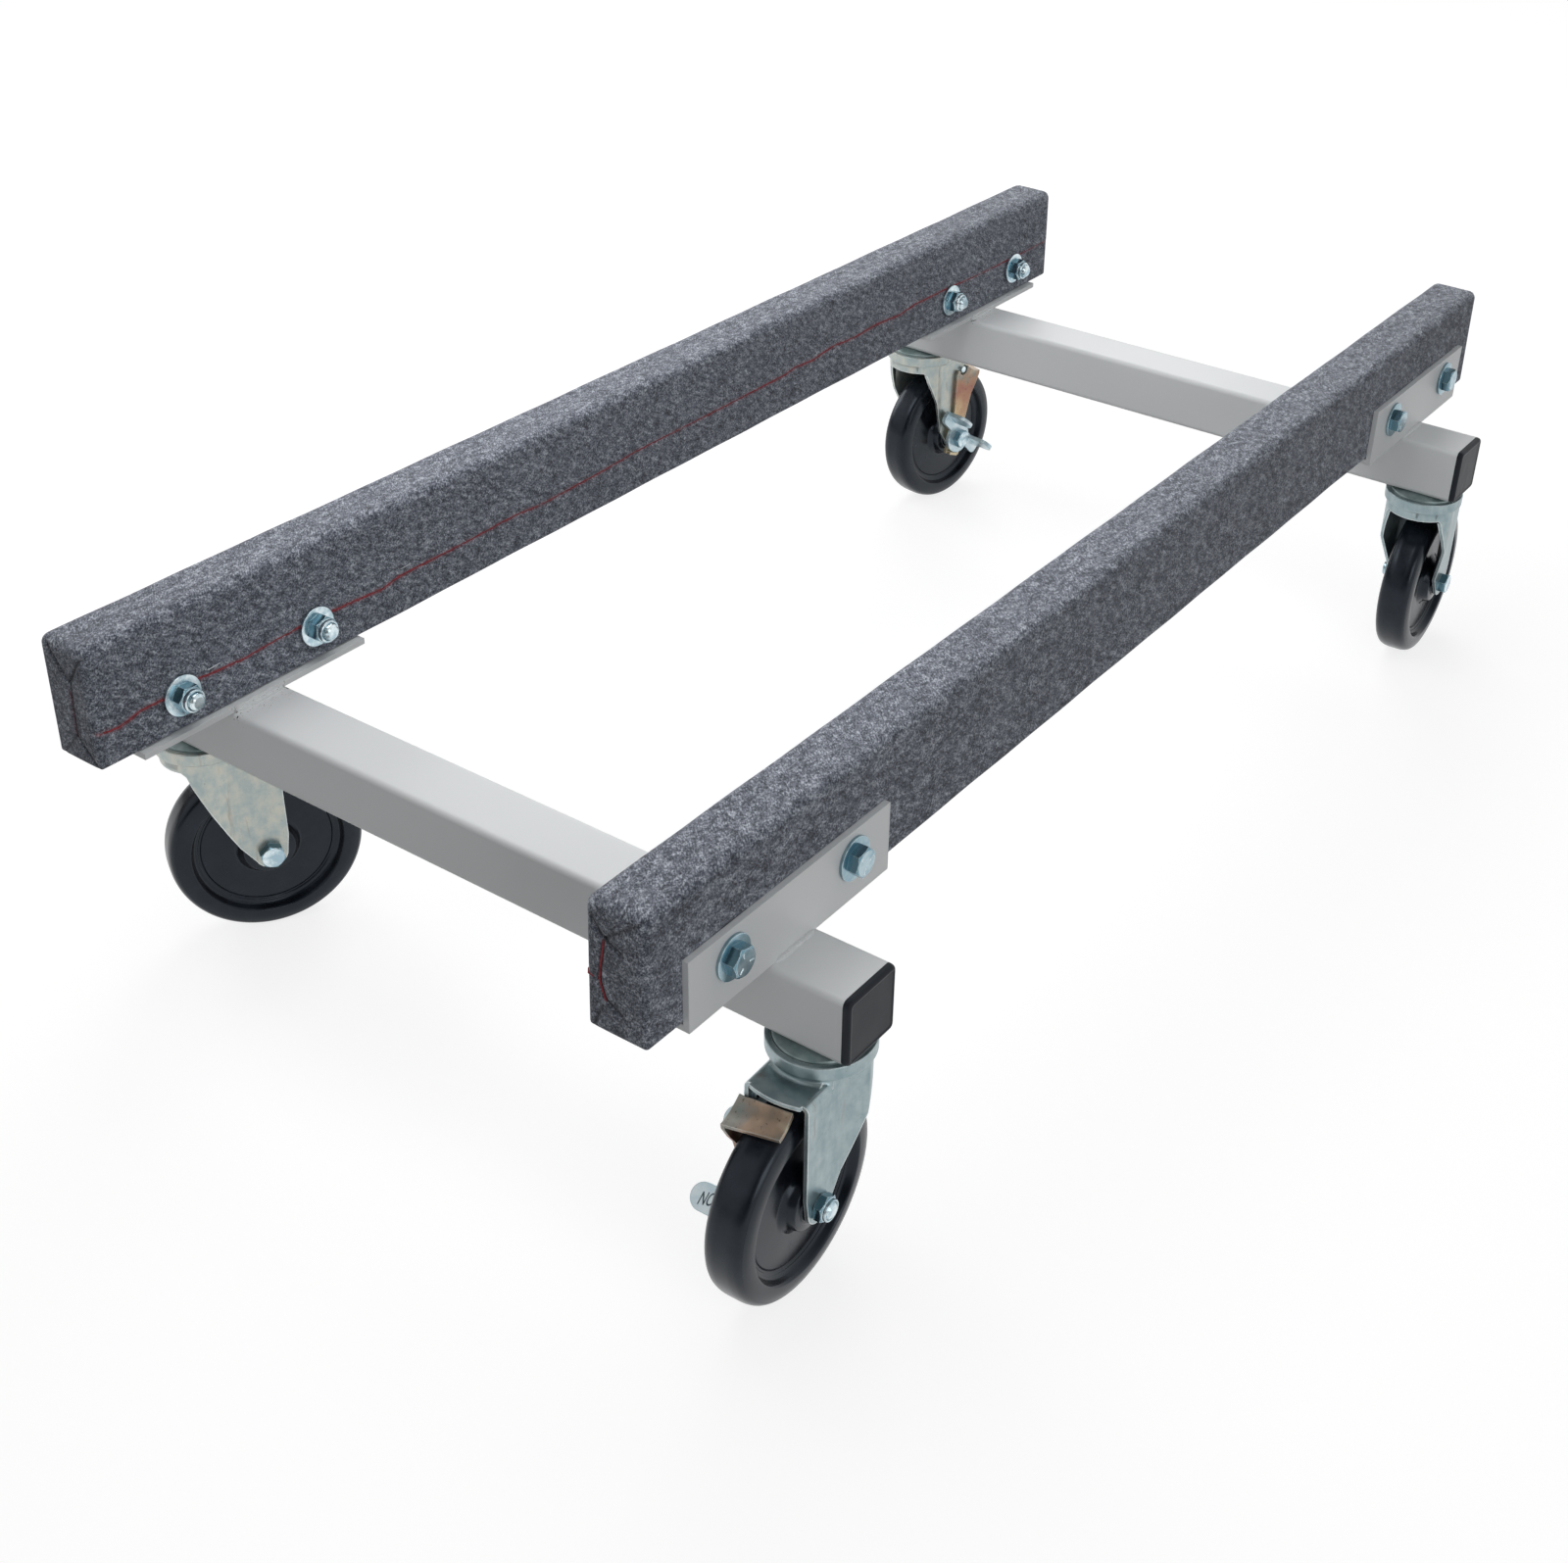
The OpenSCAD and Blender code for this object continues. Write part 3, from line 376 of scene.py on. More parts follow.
plug_plastic = Finish("plug_plastic", colour=(0.03, 0.031, 0.035), roughness=0.42, specular_ior_level=0.21)
plug_plastic.shader.inputs["Specular Tint"].default_value = (0.78, 0.88, 1, 1)
scuff = plug_plastic.noise(140, detail=4, stretch=(1, 1, 0.4))
plug_plastic.give("Base Color", plug_plastic.mix(scuff, (0.007, 0.008, 0.011), (0.015, 0.017, 0.022)))
plug_plastic.give("Roughness", 0.34 + 0.16 * scuff)
plug_plastic.relief(plug_plastic.noise(2600, detail=1), 0.00002)
tube_end = 0.32
tube_middle = tube_top - tube_half


def in_mm(*points):
    """Points or lengths written in millimetres, as an array in metres."""
    return np.array(points) / 1000


def plug(side, end):
    """Rounded squares carried along a profile of (x from the tube's end, half width, corner
    radius): face, rim, back of the head, then the insert's wall, out and back."""
    profile = in_mm(
        (4.55, 0, 0), (4.55, 20.9, 1.4), (4.55, 21.3, 1.7), (4.7, 21.9, 2.1), (4.98, 22.4, 2.3),
        (5, 22.9, 2.6), (4.8, 23.6, 3.1), (4.3, 24.3, 3.6), (3.5, 24.9, 4.1), (2.5, 25.25, 4.4),
        (1.2, 25.4, 4.5), (0.03, 25.4, 4.5), (0.03, 22.15, 2), (-15, 22.15, 2), (-16, 21.6, 1.6),
        (-16, 19.1, 1.2), (-0.5, 19.1, 1.2), (-0.5, 0, 0),
    )
    turn = np.linspace(0, 2 * math.pi, 129)
    way = np.stack([np.cos(turn), np.sin(turn)], -1)
    square = way / np.abs(way).max(1, keepdims=True)
    half, corner = profile[:, 1, None, None], profile[:, 2, None, None]
    flat = np.clip(square * half, corner - half, half - corner)
    out = square * half - flat
    ring = flat + out / np.maximum(np.linalg.norm(out, axis=2, keepdims=True), 1e-9) * corner
    x = np.broadcast_to(side * (tube_end + profile[:, :1]), ring.shape[:2])
    return np.stack([x, end * tube_y + ring[..., 0], tube_middle + ring[..., 1]], -1)


plugs = [plug(side, end) for side in (-1, 1) for end in (-1, 1)]
piece("square_plugs", plugs, plug_plastic, "frame", stands_for=["tube_end_plugs"], sharp=50)


# Bunk boards. A dressed softwood 2 by 4 with eased edges stands on edge inside each felt cover,
# out of sight.

timber = Finish("timber", colour=(0.6, 0.45, 0.3), roughness=0.7)
rings = timber.noise(38, detail=3, stretch=(1, 0.05, 1))
grain = timber.node("Math", {"operation": "FRACT"}, {0: rings * 9}).step(0.1, 0.9)
timber.give("Base Color", timber.mix(grain, (0.62, 0.44, 0.26), (0.42, 0.26, 0.13)))
timber.relief(timber.noise(500, detail=2, stretch=(1, 0.08, 1)), 0.0002)
board_edge = 0.004


def lines(*stretches):
    """Grid lines along stretches of (start, stop, number of steps)."""
    return np.concatenate([[stretches[0][0]]] + [np.linspace(a, b, n + 1)[1:] for a, b, n in stretches])


def box_sides(xs, ys, zs):
    """The six sides of a box, each a grid along its own two sets of lines, all facing outward."""
    sides, axes = [], (xs, ys, zs)
    for axis in range(3):
        first, second = (axis + 1) % 3, (axis + 2) % 3
        for end in (0, -1):
            grid = np.empty((len(axes[first]), len(axes[second]), 3))
            grid[..., first], grid[..., second] = np.meshgrid(axes[first], axes[second], indexing="ij")
            grid[..., axis] = axes[axis][end]
            sides.append(grid if end else grid[::-1])
    return sides


def rounded(grid, low, high, edge):
    """Moves points of a box's sides on to the box with round edges: each goes to a radius from the
    nearest point of the inner box. The radius goes from the first given at the box's foot to the
    second at its top. Also gives the outward direction at each point."""
    edge = np.interp(grid[..., 2:], (low[2], high[2]), edge)
    inner = np.clip(grid, low + edge, high - edge)
    out = grid - inner
    out /= np.linalg.norm(out, axis=-1, keepdims=True)
    return inner + out * edge, out


def block(low, high, edge, margin, steps):
    """The six sides of a box with round edges. Its grid has so many steps in the margin along each
    edge, and so many between the margins."""
    by_edge, between = steps
    axes = [
        lines((a, a + margin, by_edge), (a + margin, b - margin, between), (b - margin, b, by_edge))
        for a, b in zip(low, high)
    ]
    return [rounded(grid, low, high, (edge, edge))[0] for grid in box_sides(*axes)]


for name in ("left", "right"):
    low, high = (np.array(end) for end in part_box(f"bunk_board_{name}"))
    piece(f"eased_board_{name}", block(low, high, board_edge, board_edge, (4, 6)), timber, "frame",
          stands_for=[f"bunk_board_{name}"])


# Felt covers. Grey marled felt, about 3 mm thick, is wrapped round each board and closed by a wavy
# red overlocked seam along the inner side. At the ends it is folded as a parcel is, with the folds
# tucked under a short flap. Washers pinch it at the bolts.

felt_cloth = Finish("felt_cloth", colour=(0.17, 0.18, 0.21), roughness=0.95, specular_ior_level=0.2,
                    sheen_weight=0.25, sheen_roughness=0.6)


def laid(axis, angle, stretch, detail=3):
    """Fibres as long stretched noise, laid at an angle round an axis."""
    turned_place = felt_cloth.node(
        "VectorRotate", {"rotation_type": axis + "_AXIS"}, {"Vector": felt_cloth.place, "Angle": angle})
    return felt_cloth.noise(1, detail=detail, rough=0.65, stretch=stretch, at=turned_place)


rising = laid("X", 0.6, (950, 300, 950))
falling = laid("X", -0.75, (850, 270, 850))
lying = laid("Z", 0.7, (330, 1050, 700))
fibres = rising.most(falling) * 0.55 + lying * 0.45
tufts = laid("X", 0.5, (240, 95, 240), detail=2)
clouds = felt_cloth.noise(45, detail=4)
marl = felt_cloth.ramp(
    fibres * 0.73 + tufts * 0.22 + clouds * 0.05,
    (0.415, (0.016, 0.02, 0.03)), (0.485, (0.082, 0.094, 0.124)),
    (0.543, (0.235, 0.258, 0.312)), (0.615, (0.66, 0.7, 0.78)),
)
# Painted shade: a near black line along each fold's crease at the cover's ends, read from the fold mark.
crease_shade_mark = felt_cloth.node("Attribute", {"attribute_name": "fold"}, {}, "Fac")
seam_mark = felt_cloth.node("Attribute", {"attribute_name": "seam"}, {}, "Fac")
broken = felt_cloth.noise(1, detail=3, stretch=(700, 130, 700)).step(0.3, 0.6)
reddened = felt_cloth.mix(seam_mark * broken, marl, (0.4, 0.05, 0.06))
felt_cloth.give("Base Color", felt_cloth.mix(crease_shade_mark, reddened, (0.012, 0.011, 0.014)))
felt_cloth.relief(fibres + rising, 0.0005)

felt_low = np.array([0.2163, -0.627, 0.2429])
felt_high = np.array([0.261, 0.627, 0.3362])
felt_edges = (0.0032, 0.0075)
felt_wall = np.array([0.0033, 0.0033, 0.0022])
lining_edge = 0.0008
bolt_z = 0.2701
bolt_offset = 0.06175
bolt_ys = np.array([end * tube_y + side * bolt_offset for end in (-1, 1) for side in (-1, 1)])
washer_dent, dent_r = 0.0007, 0.0145
seam_groove, seam_lap, fold_groove = 0.0005, 0.0004, 0.0017
seam_y = in_mm(
    -634, -624.5, -608, -599, -587, -569, -537, -509, -497, -477, -446, -415, -364, -346, -289, -217, -187,
    -119, -69, -15, 39, 145, 163, 190, 223, 260, 299, 338, 365, 420, 471, 560, 640,
)
seam_z = in_mm(
    274.5, 271.8, 269.3, 271, 273.6, 273, 275, 273.3, 272.5, 274, 275, 274.6, 272.1, 275.3, 274.9, 276.6,
    274.6, 276, 278.5, 279, 278.8, 279.4, 282, 280, 284, 282, 283.6, 281.4, 284.3, 284, 282, 281, 282,
)
seam_strength = (
    (-0.64, 0.7), (-0.6, 0.95), (-0.52, 0.95), (-0.5, 0.45), (-0.46, 0.4), (-0.42, 0.9), (-0.34, 1),
    (-0.28, 0.5), (-0.12, 0.6), (-0.06, 0.3), (0.1, 0.6), (0.2, 0.8), (0.4, 0.7), (0.47, 0.3), (0.64, 0.3),
)
folds = {
    "left": ((-252, 332, -234, 306.8), (-218, 331, -234, 306.8), (-234, 306.8, -234, 300),
             (-234, 300, -237, 264.4), (-237, 264.4, -220, 244.5), (-237, 264.4, -257, 243)),
    "right": ((221.5, 324, 230.9, 311.4), (259.2, 333.7, 230.9, 311.4), (230.9, 311.4, 242.9, 306.1),
              (230.9, 311.4, 226.6, 281.3), (226.6, 281.3, 230.2, 268.5), (230.2, 268.5, 242.8, 261.1),
              (228, 262, 220.6, 245.2)),
}
fold_weight = {"left": (1, 1, 1, 1, 1, 0.7), "right": (0.9, 0.8, 1, 0.9, 0.9, 0.9, 0.8)}


def from_line(x, z, ends):
    """Distance of points, in the plane of x and z, from the straight line between two ends, given
    as x, z, x, z in millimetres."""
    x0, z0, x1, z1 = in_mm(*ends)
    share = np.clip(((x - x0) * (x1 - x0) + (z - z0) * (z1 - z0)) / ((x1 - x0) ** 2 + (z1 - z0) ** 2), 0, 1)
    return np.hypot(x - x0 - share * (x1 - x0), z - z0 - share * (z1 - z0))


def seam_height(y, name):
    """Height of the wavy seam at y; the right cover's is the left one's turned end for end."""
    return np.interp(y if name == "left" else -y, seam_y, seam_z)


def seam_shows(y, name):
    """How much of the red thread shows at y, from 0 to 1."""
    return np.interp(y if name == "left" else -y, *zip(*seam_strength))


def hump(away, width):
    """1 at no distance, fading to nothing within about two widths."""
    return np.exp(-(away / width) ** 2)


def felt_skin(name):
    """Outer face and lining of a cover, with marks for its seam and for the painted shade along its
    fold creases. The outer face sinks by a slow waviness, by a dent round each washer, by a groove
    along the seam and by grooves along the folds at both ends, and never stands out."""
    side = -1 if name == "left" else 1
    low, high = felt_low.copy(), felt_high.copy()
    if side < 0:
        low[0], high[0] = -felt_high[0], -felt_low[0]
    r = felt_edges[1]
    xs = lines((low[0], low[0] + r, 5), (low[0] + r, high[0] - r, 30), (high[0] - r, high[0], 5))
    ys = lines((low[1], low[1] + r, 5), (low[1] + r, -0.4, 50), (-0.4, 0.4, 120),
               (0.4, high[1] - r, 50), (high[1] - r, high[1], 5))
    zs = lines((low[2], low[2] + r, 5), (low[2] + r, 0.265, 10), (0.265, 0.287, 26),
               (0.287, high[2] - r, 30), (high[2] - r, high[2], 5))
    grids, crease_shade_marks, seam_marks = [], [], []
    for grid in box_sides(xs, ys, zs):
        point, out = rounded(grid, low, high, felt_edges)
        x, y, z = point[..., 0], point[..., 1], point[..., 2]
        wave = 0.00012 * (2 + np.sin(y * 31 + z * 40 + side) + np.sin(y * 73 - x * 90 + 2 * side + z * 25))
        inner_side = np.clip(-side * out[..., 0], 0, 1) ** 4
        ring = np.min(np.hypot(y[..., None] - bolt_ys, z[..., None] - bolt_z), -1)
        wave = wave + washer_dent * hump(ring - dent_r, 0.006) * np.abs(out[..., 0])
        off_seam = z - seam_height(y, name)
        wave = wave + inner_side * (seam_groove * hump(off_seam, 0.0011) + seam_lap * (off_seam < 0))
        seam_marks.append(inner_side * seam_shows(y, name) * hump(off_seam, 0.0017))
        on_end = np.clip(np.abs(out[..., 1]), 0, 1) ** 3
        dark = np.zeros(x.shape)
        for ends, weight in zip(folds[name], fold_weight[name]):
            away = from_line(x, z, ends)
            wave = wave + on_end * weight * fold_groove * hump(away, 0.0013)
            # Painted shade: a dark line along each fold's crease, as strong as the fold's weight.
            dark = np.maximum(dark, on_end * weight * hump(away, 0.00105))
        crease_shade_marks.append(dark * 0.95)
        if side < 0:
            red_edge = on_end * 0.4 * hump(from_line(x, z, folds["left"][3]) - 0.001, 0.0008)
            seam_marks[-1] = np.maximum(seam_marks[-1], red_edge * (y < 0))
        grids.append(point - out * wave[..., None])
    lining = [grid[::-1] for grid in block(low + felt_wall, high - felt_wall, lining_edge, 0.001, (2, 4))]
    plain = [np.zeros(grid.shape[:2]) for grid in lining]
    return grids + lining, {"fold": crease_shade_marks + plain, "seam": seam_marks + plain}


askew = (0.31, 0.17, 0.93)


def strand(path, radius, sides=8):
    """Closed thin tube along a path of points: each ring stands square to the path."""
    path = np.array(path, float)
    way = np.gradient(path, axis=0)
    way /= np.linalg.norm(way, axis=1, keepdims=True)
    across = np.cross(way, askew)
    across /= np.linalg.norm(across, axis=1, keepdims=True)
    up = np.cross(way, across)
    turn = np.linspace(0, 2 * math.pi, sides + 1)[:, None, None]
    size = np.full(len(path), radius)
    size[[0, -1]] = 0
    ring = path + size[:, None] * (across * np.cos(turn) + up * np.sin(turn))
    return ring.transpose(1, 0, 2)


seam_thread = Finish("seam_thread", colour=(0.3, 0.02, 0.03), roughness=0.85)
twist = seam_thread.noise(1, detail=2, stretch=(900, 500, 900))
twisted_red = seam_thread.mix(twist.step(0.35, 0.65), (0.15, 0.02, 0.03), (0.38, 0.06, 0.07))
seam_thread.give("Base Color", twisted_red)
seam_thread.relief(twist, 0.0002)
thread_radius = 0.0007
staple_wire = Finish("staple_wire", colour=(0.55, 0.58, 0.6), roughness=0.3, metallic=1.0)
staple_wire.give("Roughness", 0.25 + 0.3 * staple_wire.noise(700, detail=2))
staple_r = 0.0003
staple_places = ((-0.5305, 0.2788), (-0.3445, 0.281))
staple_bends = (
    (0.002, 0, 0), (-0.0001, 0.0002, 0), (-0.0003, 0.0008, 0),
    (-0.0003, 0.0102, 0.0006), (-0.0001, 0.0108, 0.0006), (0.002, 0.011, 0.0006),
)

for name, side in (("left", -1), ("right", 1)):
    grids, marks = felt_skin(name)
    cover = piece(f"felt_cover_{name}", grids, felt_cloth, "frame", stands_for=[f"bunk_felt_{name}"],
                  sharp=80, marks=marks, turned_out=False)
    face_x = side * felt_low[0]
    y = np.linspace(-0.62, 0.62, 1200)
    dip = 0.0015 - 0.0013 * seam_shows(y, name) * (0.62 + 0.38 * np.sin(y * 310) * np.sin(y * 97 + 1))
    wander = 0.00025 * np.sin(y * 830) + 0.0002 * np.sin(y * 270 + 2)
    path = np.stack([face_x + side * dip, y, seam_height(y, name) + wander], -1)
    thread = piece(f"seam_thread_{name}", [strand(path, thread_radius)], seam_thread, "frame")
    if side > 0:
        down = in_mm(
            (230.9, -626.2, 312), (230.6, -626.2, 308), (229.2, -626.2, 299), (227.6, -626.2, 290),
            (226.6, -626.2, 281.3), (227.8, -626.2, 276), (230.2, -626.2, 268.5), (231.2, -626.2, 264),
        )
        across_end = in_mm(
            (216.9, -621.5, 283.5), (217.2, -624.5, 282.6), (218.8, -626.6, 281.6), (222, -626.4, 281.1),
            (226.6, -626.2, 280),
        )
        end_runs = [strand(run, thread_radius) for run in (down, across_end)]
        end_threads = piece("end_threads_right", end_runs, seam_thread, "frame")
    staple_grids = [
        strand([(face_x + side * sunk, y0 + run, z0 + rise) for sunk, run, rise in staple_bends], staple_r)
        for y0, z0 in staple_places
    ]
    staples = piece(f"staples_{name}", staple_grids, staple_wire, "frame")


# Bunk fasteners. Half inch zinc plated bolts go through bracket, felt and board, with a flat
# washer under each head and each lock nut. The heads carry three raised radial grade lines, and
# the nuts' round collars are rolled over a nylon ring.

bright_zinc = Finish("bright_zinc", colour=(0.6, 0.7, 0.74), roughness=0.2, metallic=1.0)
plate_cloud = bright_zinc.noise(110, detail=3)
plate_pits = bright_zinc.noise(1400, detail=2)
blue_white = bright_zinc.mix(plate_cloud.step(0.36, 0.64), (0.36, 0.5, 0.57), (0.74, 0.84, 0.87))
# Painted shade: each piece's flats mark lays a dark teal on the hex flanks, in part on the bolt heads' faces
# and grade lines, the axle nuts' collars and the outer washers, and not on the shanks or the inner washers.
flank_shade = bright_zinc.node("Attribute", {"attribute_name": "flats"}, {}, "Fac")
teal_flank_shade = bright_zinc.mix(flank_shade, blue_white, (0.15, 0.27, 0.33))
# Painted highlight: near white along the sharp edges.
zinc_edge_highlight = bright_zinc.along_edges(0.0005) * 0.8
bright_zinc.give("Base Color", bright_zinc.mix(zinc_edge_highlight, teal_flank_shade, (0.85, 0.93, 0.95)))
bright_zinc.give("Roughness", 0.12 + 0.2 * plate_cloud)
bright_zinc.relief(plate_pits, 0.00003, edge=0.0003)

bolt_r = 0.00635
bolt_af = 0.019
head_h = 0.008
nut_h = 0.0125
washer_t = 0.0024
head_face = bracket_outside + washer_t
nut_face = felt_low[0] - washer_t
bolt_past_nut = 0.004
bolt_end = nut_face - nut_h - bolt_past_nut


def turned(profile, count=72, flats=None, thread=0):
    """Grid of a profile of (radius, height) carried round the z axis. With flats, a ring's radius
    is the least of the profile's and a hexagon's. With a thread, points past four fifths of the
    greatest radius wind in and out by a triangle wave that climbs one pitch in each turn."""
    turn = np.linspace(0, 2 * math.pi, count + 1)
    radius, height = np.array(profile, float).T[..., None]
    radius = np.broadcast_to(radius, (len(profile), count + 1))
    height = np.broadcast_to(height, radius.shape)
    if flats:
        radius = np.minimum(radius, flats / 2 / np.cos((turn + math.pi / 6) % (math.pi / 3) - math.pi / 6))
    if thread:
        wave = np.abs(((height / thread - turn / 2 / math.pi) % 1) * 2 - 1)
        radius = radius - (radius > 0.8 * radius.max()) * wave * thread * 0.3
    return np.stack([radius * np.cos(turn), radius * np.sin(turn), height], -1)


def placed(grid, origin, along, spin=0):
    """Turns a grid's z axis to lie along a direction, spun round it by some degrees, and moves it
    so that its origin is at a point."""
    z = np.array(along, float) / np.linalg.norm(along)
    x = np.cross((0, 0, 1), z) if abs(z[2]) < 0.9 else np.array((1.0, 0, 0))
    x = x / np.linalg.norm(x)
    y = np.cross(z, x)
    c, s = math.cos(math.radians(spin)), math.sin(math.radians(spin))
    return np.array(origin) + grid @ np.array([x * c + y * s, y * c - x * s, z])


hex_head = turned(in_mm(
    (0, 0), (11, 0), (11, 6.9), (10.6, 7.15), (10.1, 7.4), (9.6, 7.65), (9.15, 7.85), (8.8, 7.96), (8.4, 8),
    (0, 8),
), flats=bolt_af)
lock_nut = turned(in_mm(
    (6.5, 0), (9, 0), (9.7, 0.3), (10.4, 0.7), (11, 1.1), (11, 7.9), (10.5, 8.2), (9.9, 8.5), (9.3, 8.8),
    (8.75, 9.05), (8.7, 9.3), (8.7, 11.3), (8.6, 11.8), (8.3, 12.2), (7.9, 12.45), (7.5, 12.5), (7.15, 12.4),
    (6.95, 12.1), (6.9, 11.5), (6.5, 11.3), (6.5, 0),
), flats=bolt_af)
flat_washer = turned(in_mm(
    (6.7, 0), (15.1, 0), (15.35, 0.1), (15.5, 0.35), (15.5, 2.05), (15.35, 2.3), (15.1, 2.4), (6.8, 2.4),
    (6.7, 2.3), (6.7, 0),
))


def shank(radius, length, threaded, pitch):
    """Surface of a bolt's shank, up its axis from its tip: a rounded tip, a thread, then plain."""
    tip = [(0, 0.0001), (radius * 0.71, 0.0001), (radius * 0.8, 0.0006), (radius * 0.92, 0.0012)]
    thread = [(radius, height) for height in np.linspace(0.0016, threaded, 60)]
    return turned(tip + thread + [(radius, length), (0, length)], count=36, thread=pitch)


bolt_shank = shank(bolt_r, head_face - bolt_end, threaded=0.0245, pitch=0.00195)


def mark_rings(grid, start=0, stop=0, rest=0.0):
    """1 on the rings of a grid from start up to stop, and a lesser mark on the rest of them."""
    values = np.full(grid.shape[:2], rest)
    values[start:stop] = 1
    return values


def grade_line(turn):
    """A low rounded ridge on a bolt head's face, from near the middle out towards the rim."""
    spine = np.linspace(0.0035, 0.0078, 12)
    path = np.stack([spine * math.cos(turn), spine * math.sin(turn), np.full(12, head_h - 0.0001)], -1)
    return strand(path, 0.00055)


# Rings of the hex flanks, which take the full painted teal shade.
head_flank, nut_flank = (1, 7), (3, 9)
head_turns = (10, 37, 3, 24)
heads, nuts, washers, head_shade_marks, nut_shade_marks, washer_shade_marks = [], [], [], [], [], []
for side in (-1, 1):
    for y, head_turn in zip(bolt_ys, head_turns):
        out = (side, 0, 0)
        spin = head_turn + 7 * side
        head_parts = [hex_head] + [grade_line(math.radians(a)) for a in (90, 210, 330)]
        heads += [placed(g, (side * head_face, y, bolt_z), out, spin) for g in head_parts]
        heads.append(placed(bolt_shank, (side * bolt_end, y, bolt_z), out))
        head_shade_marks.append(mark_rings(hex_head, *head_flank, rest=0.55))
        head_shade_marks += [mark_rings(g, rest=0.85) for g in head_parts[1:]] + [mark_rings(bolt_shank)]
        nut_shade_marks.append(mark_rings(lock_nut, *nut_flank))
        nuts.append(placed(lock_nut, (side * nut_face, y, bolt_z), (-side, 0, 0), 20 + spin))
        washers.append(placed(flat_washer, (side * bracket_outside, y, bolt_z), out))
        washers.append(placed(flat_washer, (side * felt_low[0], y, bolt_z), (-side, 0, 0)))
        washer_shade_marks += [mark_rings(flat_washer, rest=0.75), mark_rings(flat_washer)]
piece("hex_bolts", heads, bright_zinc, "frame", stands_for=["bunk_bolts"], sharp=25,
      marks={"flats": head_shade_marks})
piece("lock_nuts", nuts, bright_zinc, "frame", stands_for=["bunk_lock_nuts"], sharp=25,
      marks={"flats": nut_shade_marks})
piece("flat_washers", washers, bright_zinc, "frame", stands_for=["bunk_washers"], sharp=30,
      marks={"flats": washer_shade_marks})
dress(bright_zinc, "stem_nuts", "stem_washers")


# Swivel heads. A stem and a dished race, all one piece, stay still under each tube. The fork's
# rolled ring turns round the race on two rows of balls. The race's plating is a dull grey-green,
# mottled darker and lighter, with a painted highlight along its sharp edges.

race_plate = Finish("race_plate", colour=(0.3, 0.37, 0.37), roughness=0.38, metallic=0.75)
race_cloud = race_plate.noise(70, detail=3)
race_mottle = race_plate.mix(race_cloud.step(0.3, 0.7), (0.2, 0.27, 0.27), (0.42, 0.5, 0.5))
# Painted highlight: pale along the sharp edges.
race_plate.give("Base Color", race_plate.mix(race_plate.along_edges(0.0007), race_mottle, (0.72, 0.74, 0.76)))
race_plate.give("Roughness", 0.3 + 0.25 * race_cloud)
race_plate.relief(race_plate.noise(1200, detail=2), 0.00002, edge=0.0004)
dress(race_plate, "lower_races")

stem_x = 0.288
kingpins = {
    "fl": (-stem_x, -tube_y, 61), "fr": (stem_x, -tube_y, -88),
    "rl": (-stem_x, tube_y, 82), "rr": (stem_x, tube_y, 92.5),
}
under_tube = 0.1875
race_profile = in_mm(
    (0, 15), (5, 15), (6, 14), (6, 0), (22, 0), (24, -0.25), (30.6, -2.5), (31.2, -2.9), (31.5, -3.5),
    (31.5, -8.8), (28.2, -8.8), (27.6, -8.1), (26.2, -7.1), (25, -6.9), (23.8, -7.1), (22.4, -8.1),
    (21.8, -8.8), (11, -8.8), (8, -10.3), (8, -25.1), (11, -25.1), (11, -26.5), (9.5, -28.6), (0, -28.6),
)
for corner, (x, y, turn) in kingpins.items():
    race = placed(turned(race_profile, count=96), (x, y, under_tube), (0, 0, 1))
    piece(f"dished_race_{corner}", [race], race_plate, "frame",
          stands_for=[f"top_race_{corner}"], sharp=30)

ball_steel = Finish("ball_steel", colour=(0.55, 0.55, 0.56), roughness=0.2, metallic=1.0)
ball_steel.give("Roughness", 0.15 + 0.3 * ball_steel.noise(300, detail=2))
dress(ball_steel, *(f"balls_{corner}" for corner in kingpins))


# Forks. Each is pressed from one sheet of 3 mm steel, folded into two legs, with the ring rolled
# round the race. The zinc plate is bluish and mottled, with downward streaks that are brownish in
# places, partly plating stain and mostly painted reflection. The left casters carry a warm cream
# painted reflection, and a painted highlight runs along the cut edges.

pressed_zinc = Finish("pressed_zinc", colour=(0.3, 0.37, 0.39), roughness=0.4, metallic=0.8)
down_streaks = pressed_zinc.noise(1, detail=4, rough=0.6, stretch=(110, 110, 20))
mottle = pressed_zinc.noise(95, detail=4, rough=0.6)
crystal = pressed_zinc.noise(700, detail=2)
blotch = (mottle * 0.6 + down_streaks * 0.4).step(0.32, 0.68)
bluish = pressed_zinc.mix(blotch, (0.25, 0.335, 0.36), (0.41, 0.49, 0.505))
# Painted reflection: a warm cream tone, mottled, used on the casters left of the middle.
warm_reflection_tone = pressed_zinc.mix(blotch, (0.43, 0.49, 0.48), (0.58, 0.57, 0.49))
left_caster_reflection = pressed_zinc.axis(0).step(0.05, -0.05)
plate = pressed_zinc.mix(left_caster_reflection * (0.5 + 0.4 * mottle.step(0.3, 0.7)), bluish, warm_reflection_tone)
# Brownish downward streaks, partly plating stain and mostly painted reflection.
stain_and_reflection_streaks = pressed_zinc.mix(down_streaks.step(0.58, 0.72) * 0.5, plate, (0.24, 0.19, 0.16))
spotted = pressed_zinc.mix(crystal.step(0.7, 0.76) * 0.6, stain_and_reflection_streaks, (0.1, 0.08, 0.06))
# Painted highlight: near white along the cut edges.
fork_edge_highlight = pressed_zinc.along_edges(0.0011)
pressed_zinc.give("Base Color", pressed_zinc.mix(fork_edge_highlight, spotted, (0.92, 0.97, 0.98)))
pressed_zinc.give("Roughness", 0.22 + 0.24 * mottle)
pressed_zinc.relief(crystal + mottle * 2, 0.00004, edge=0.0005)


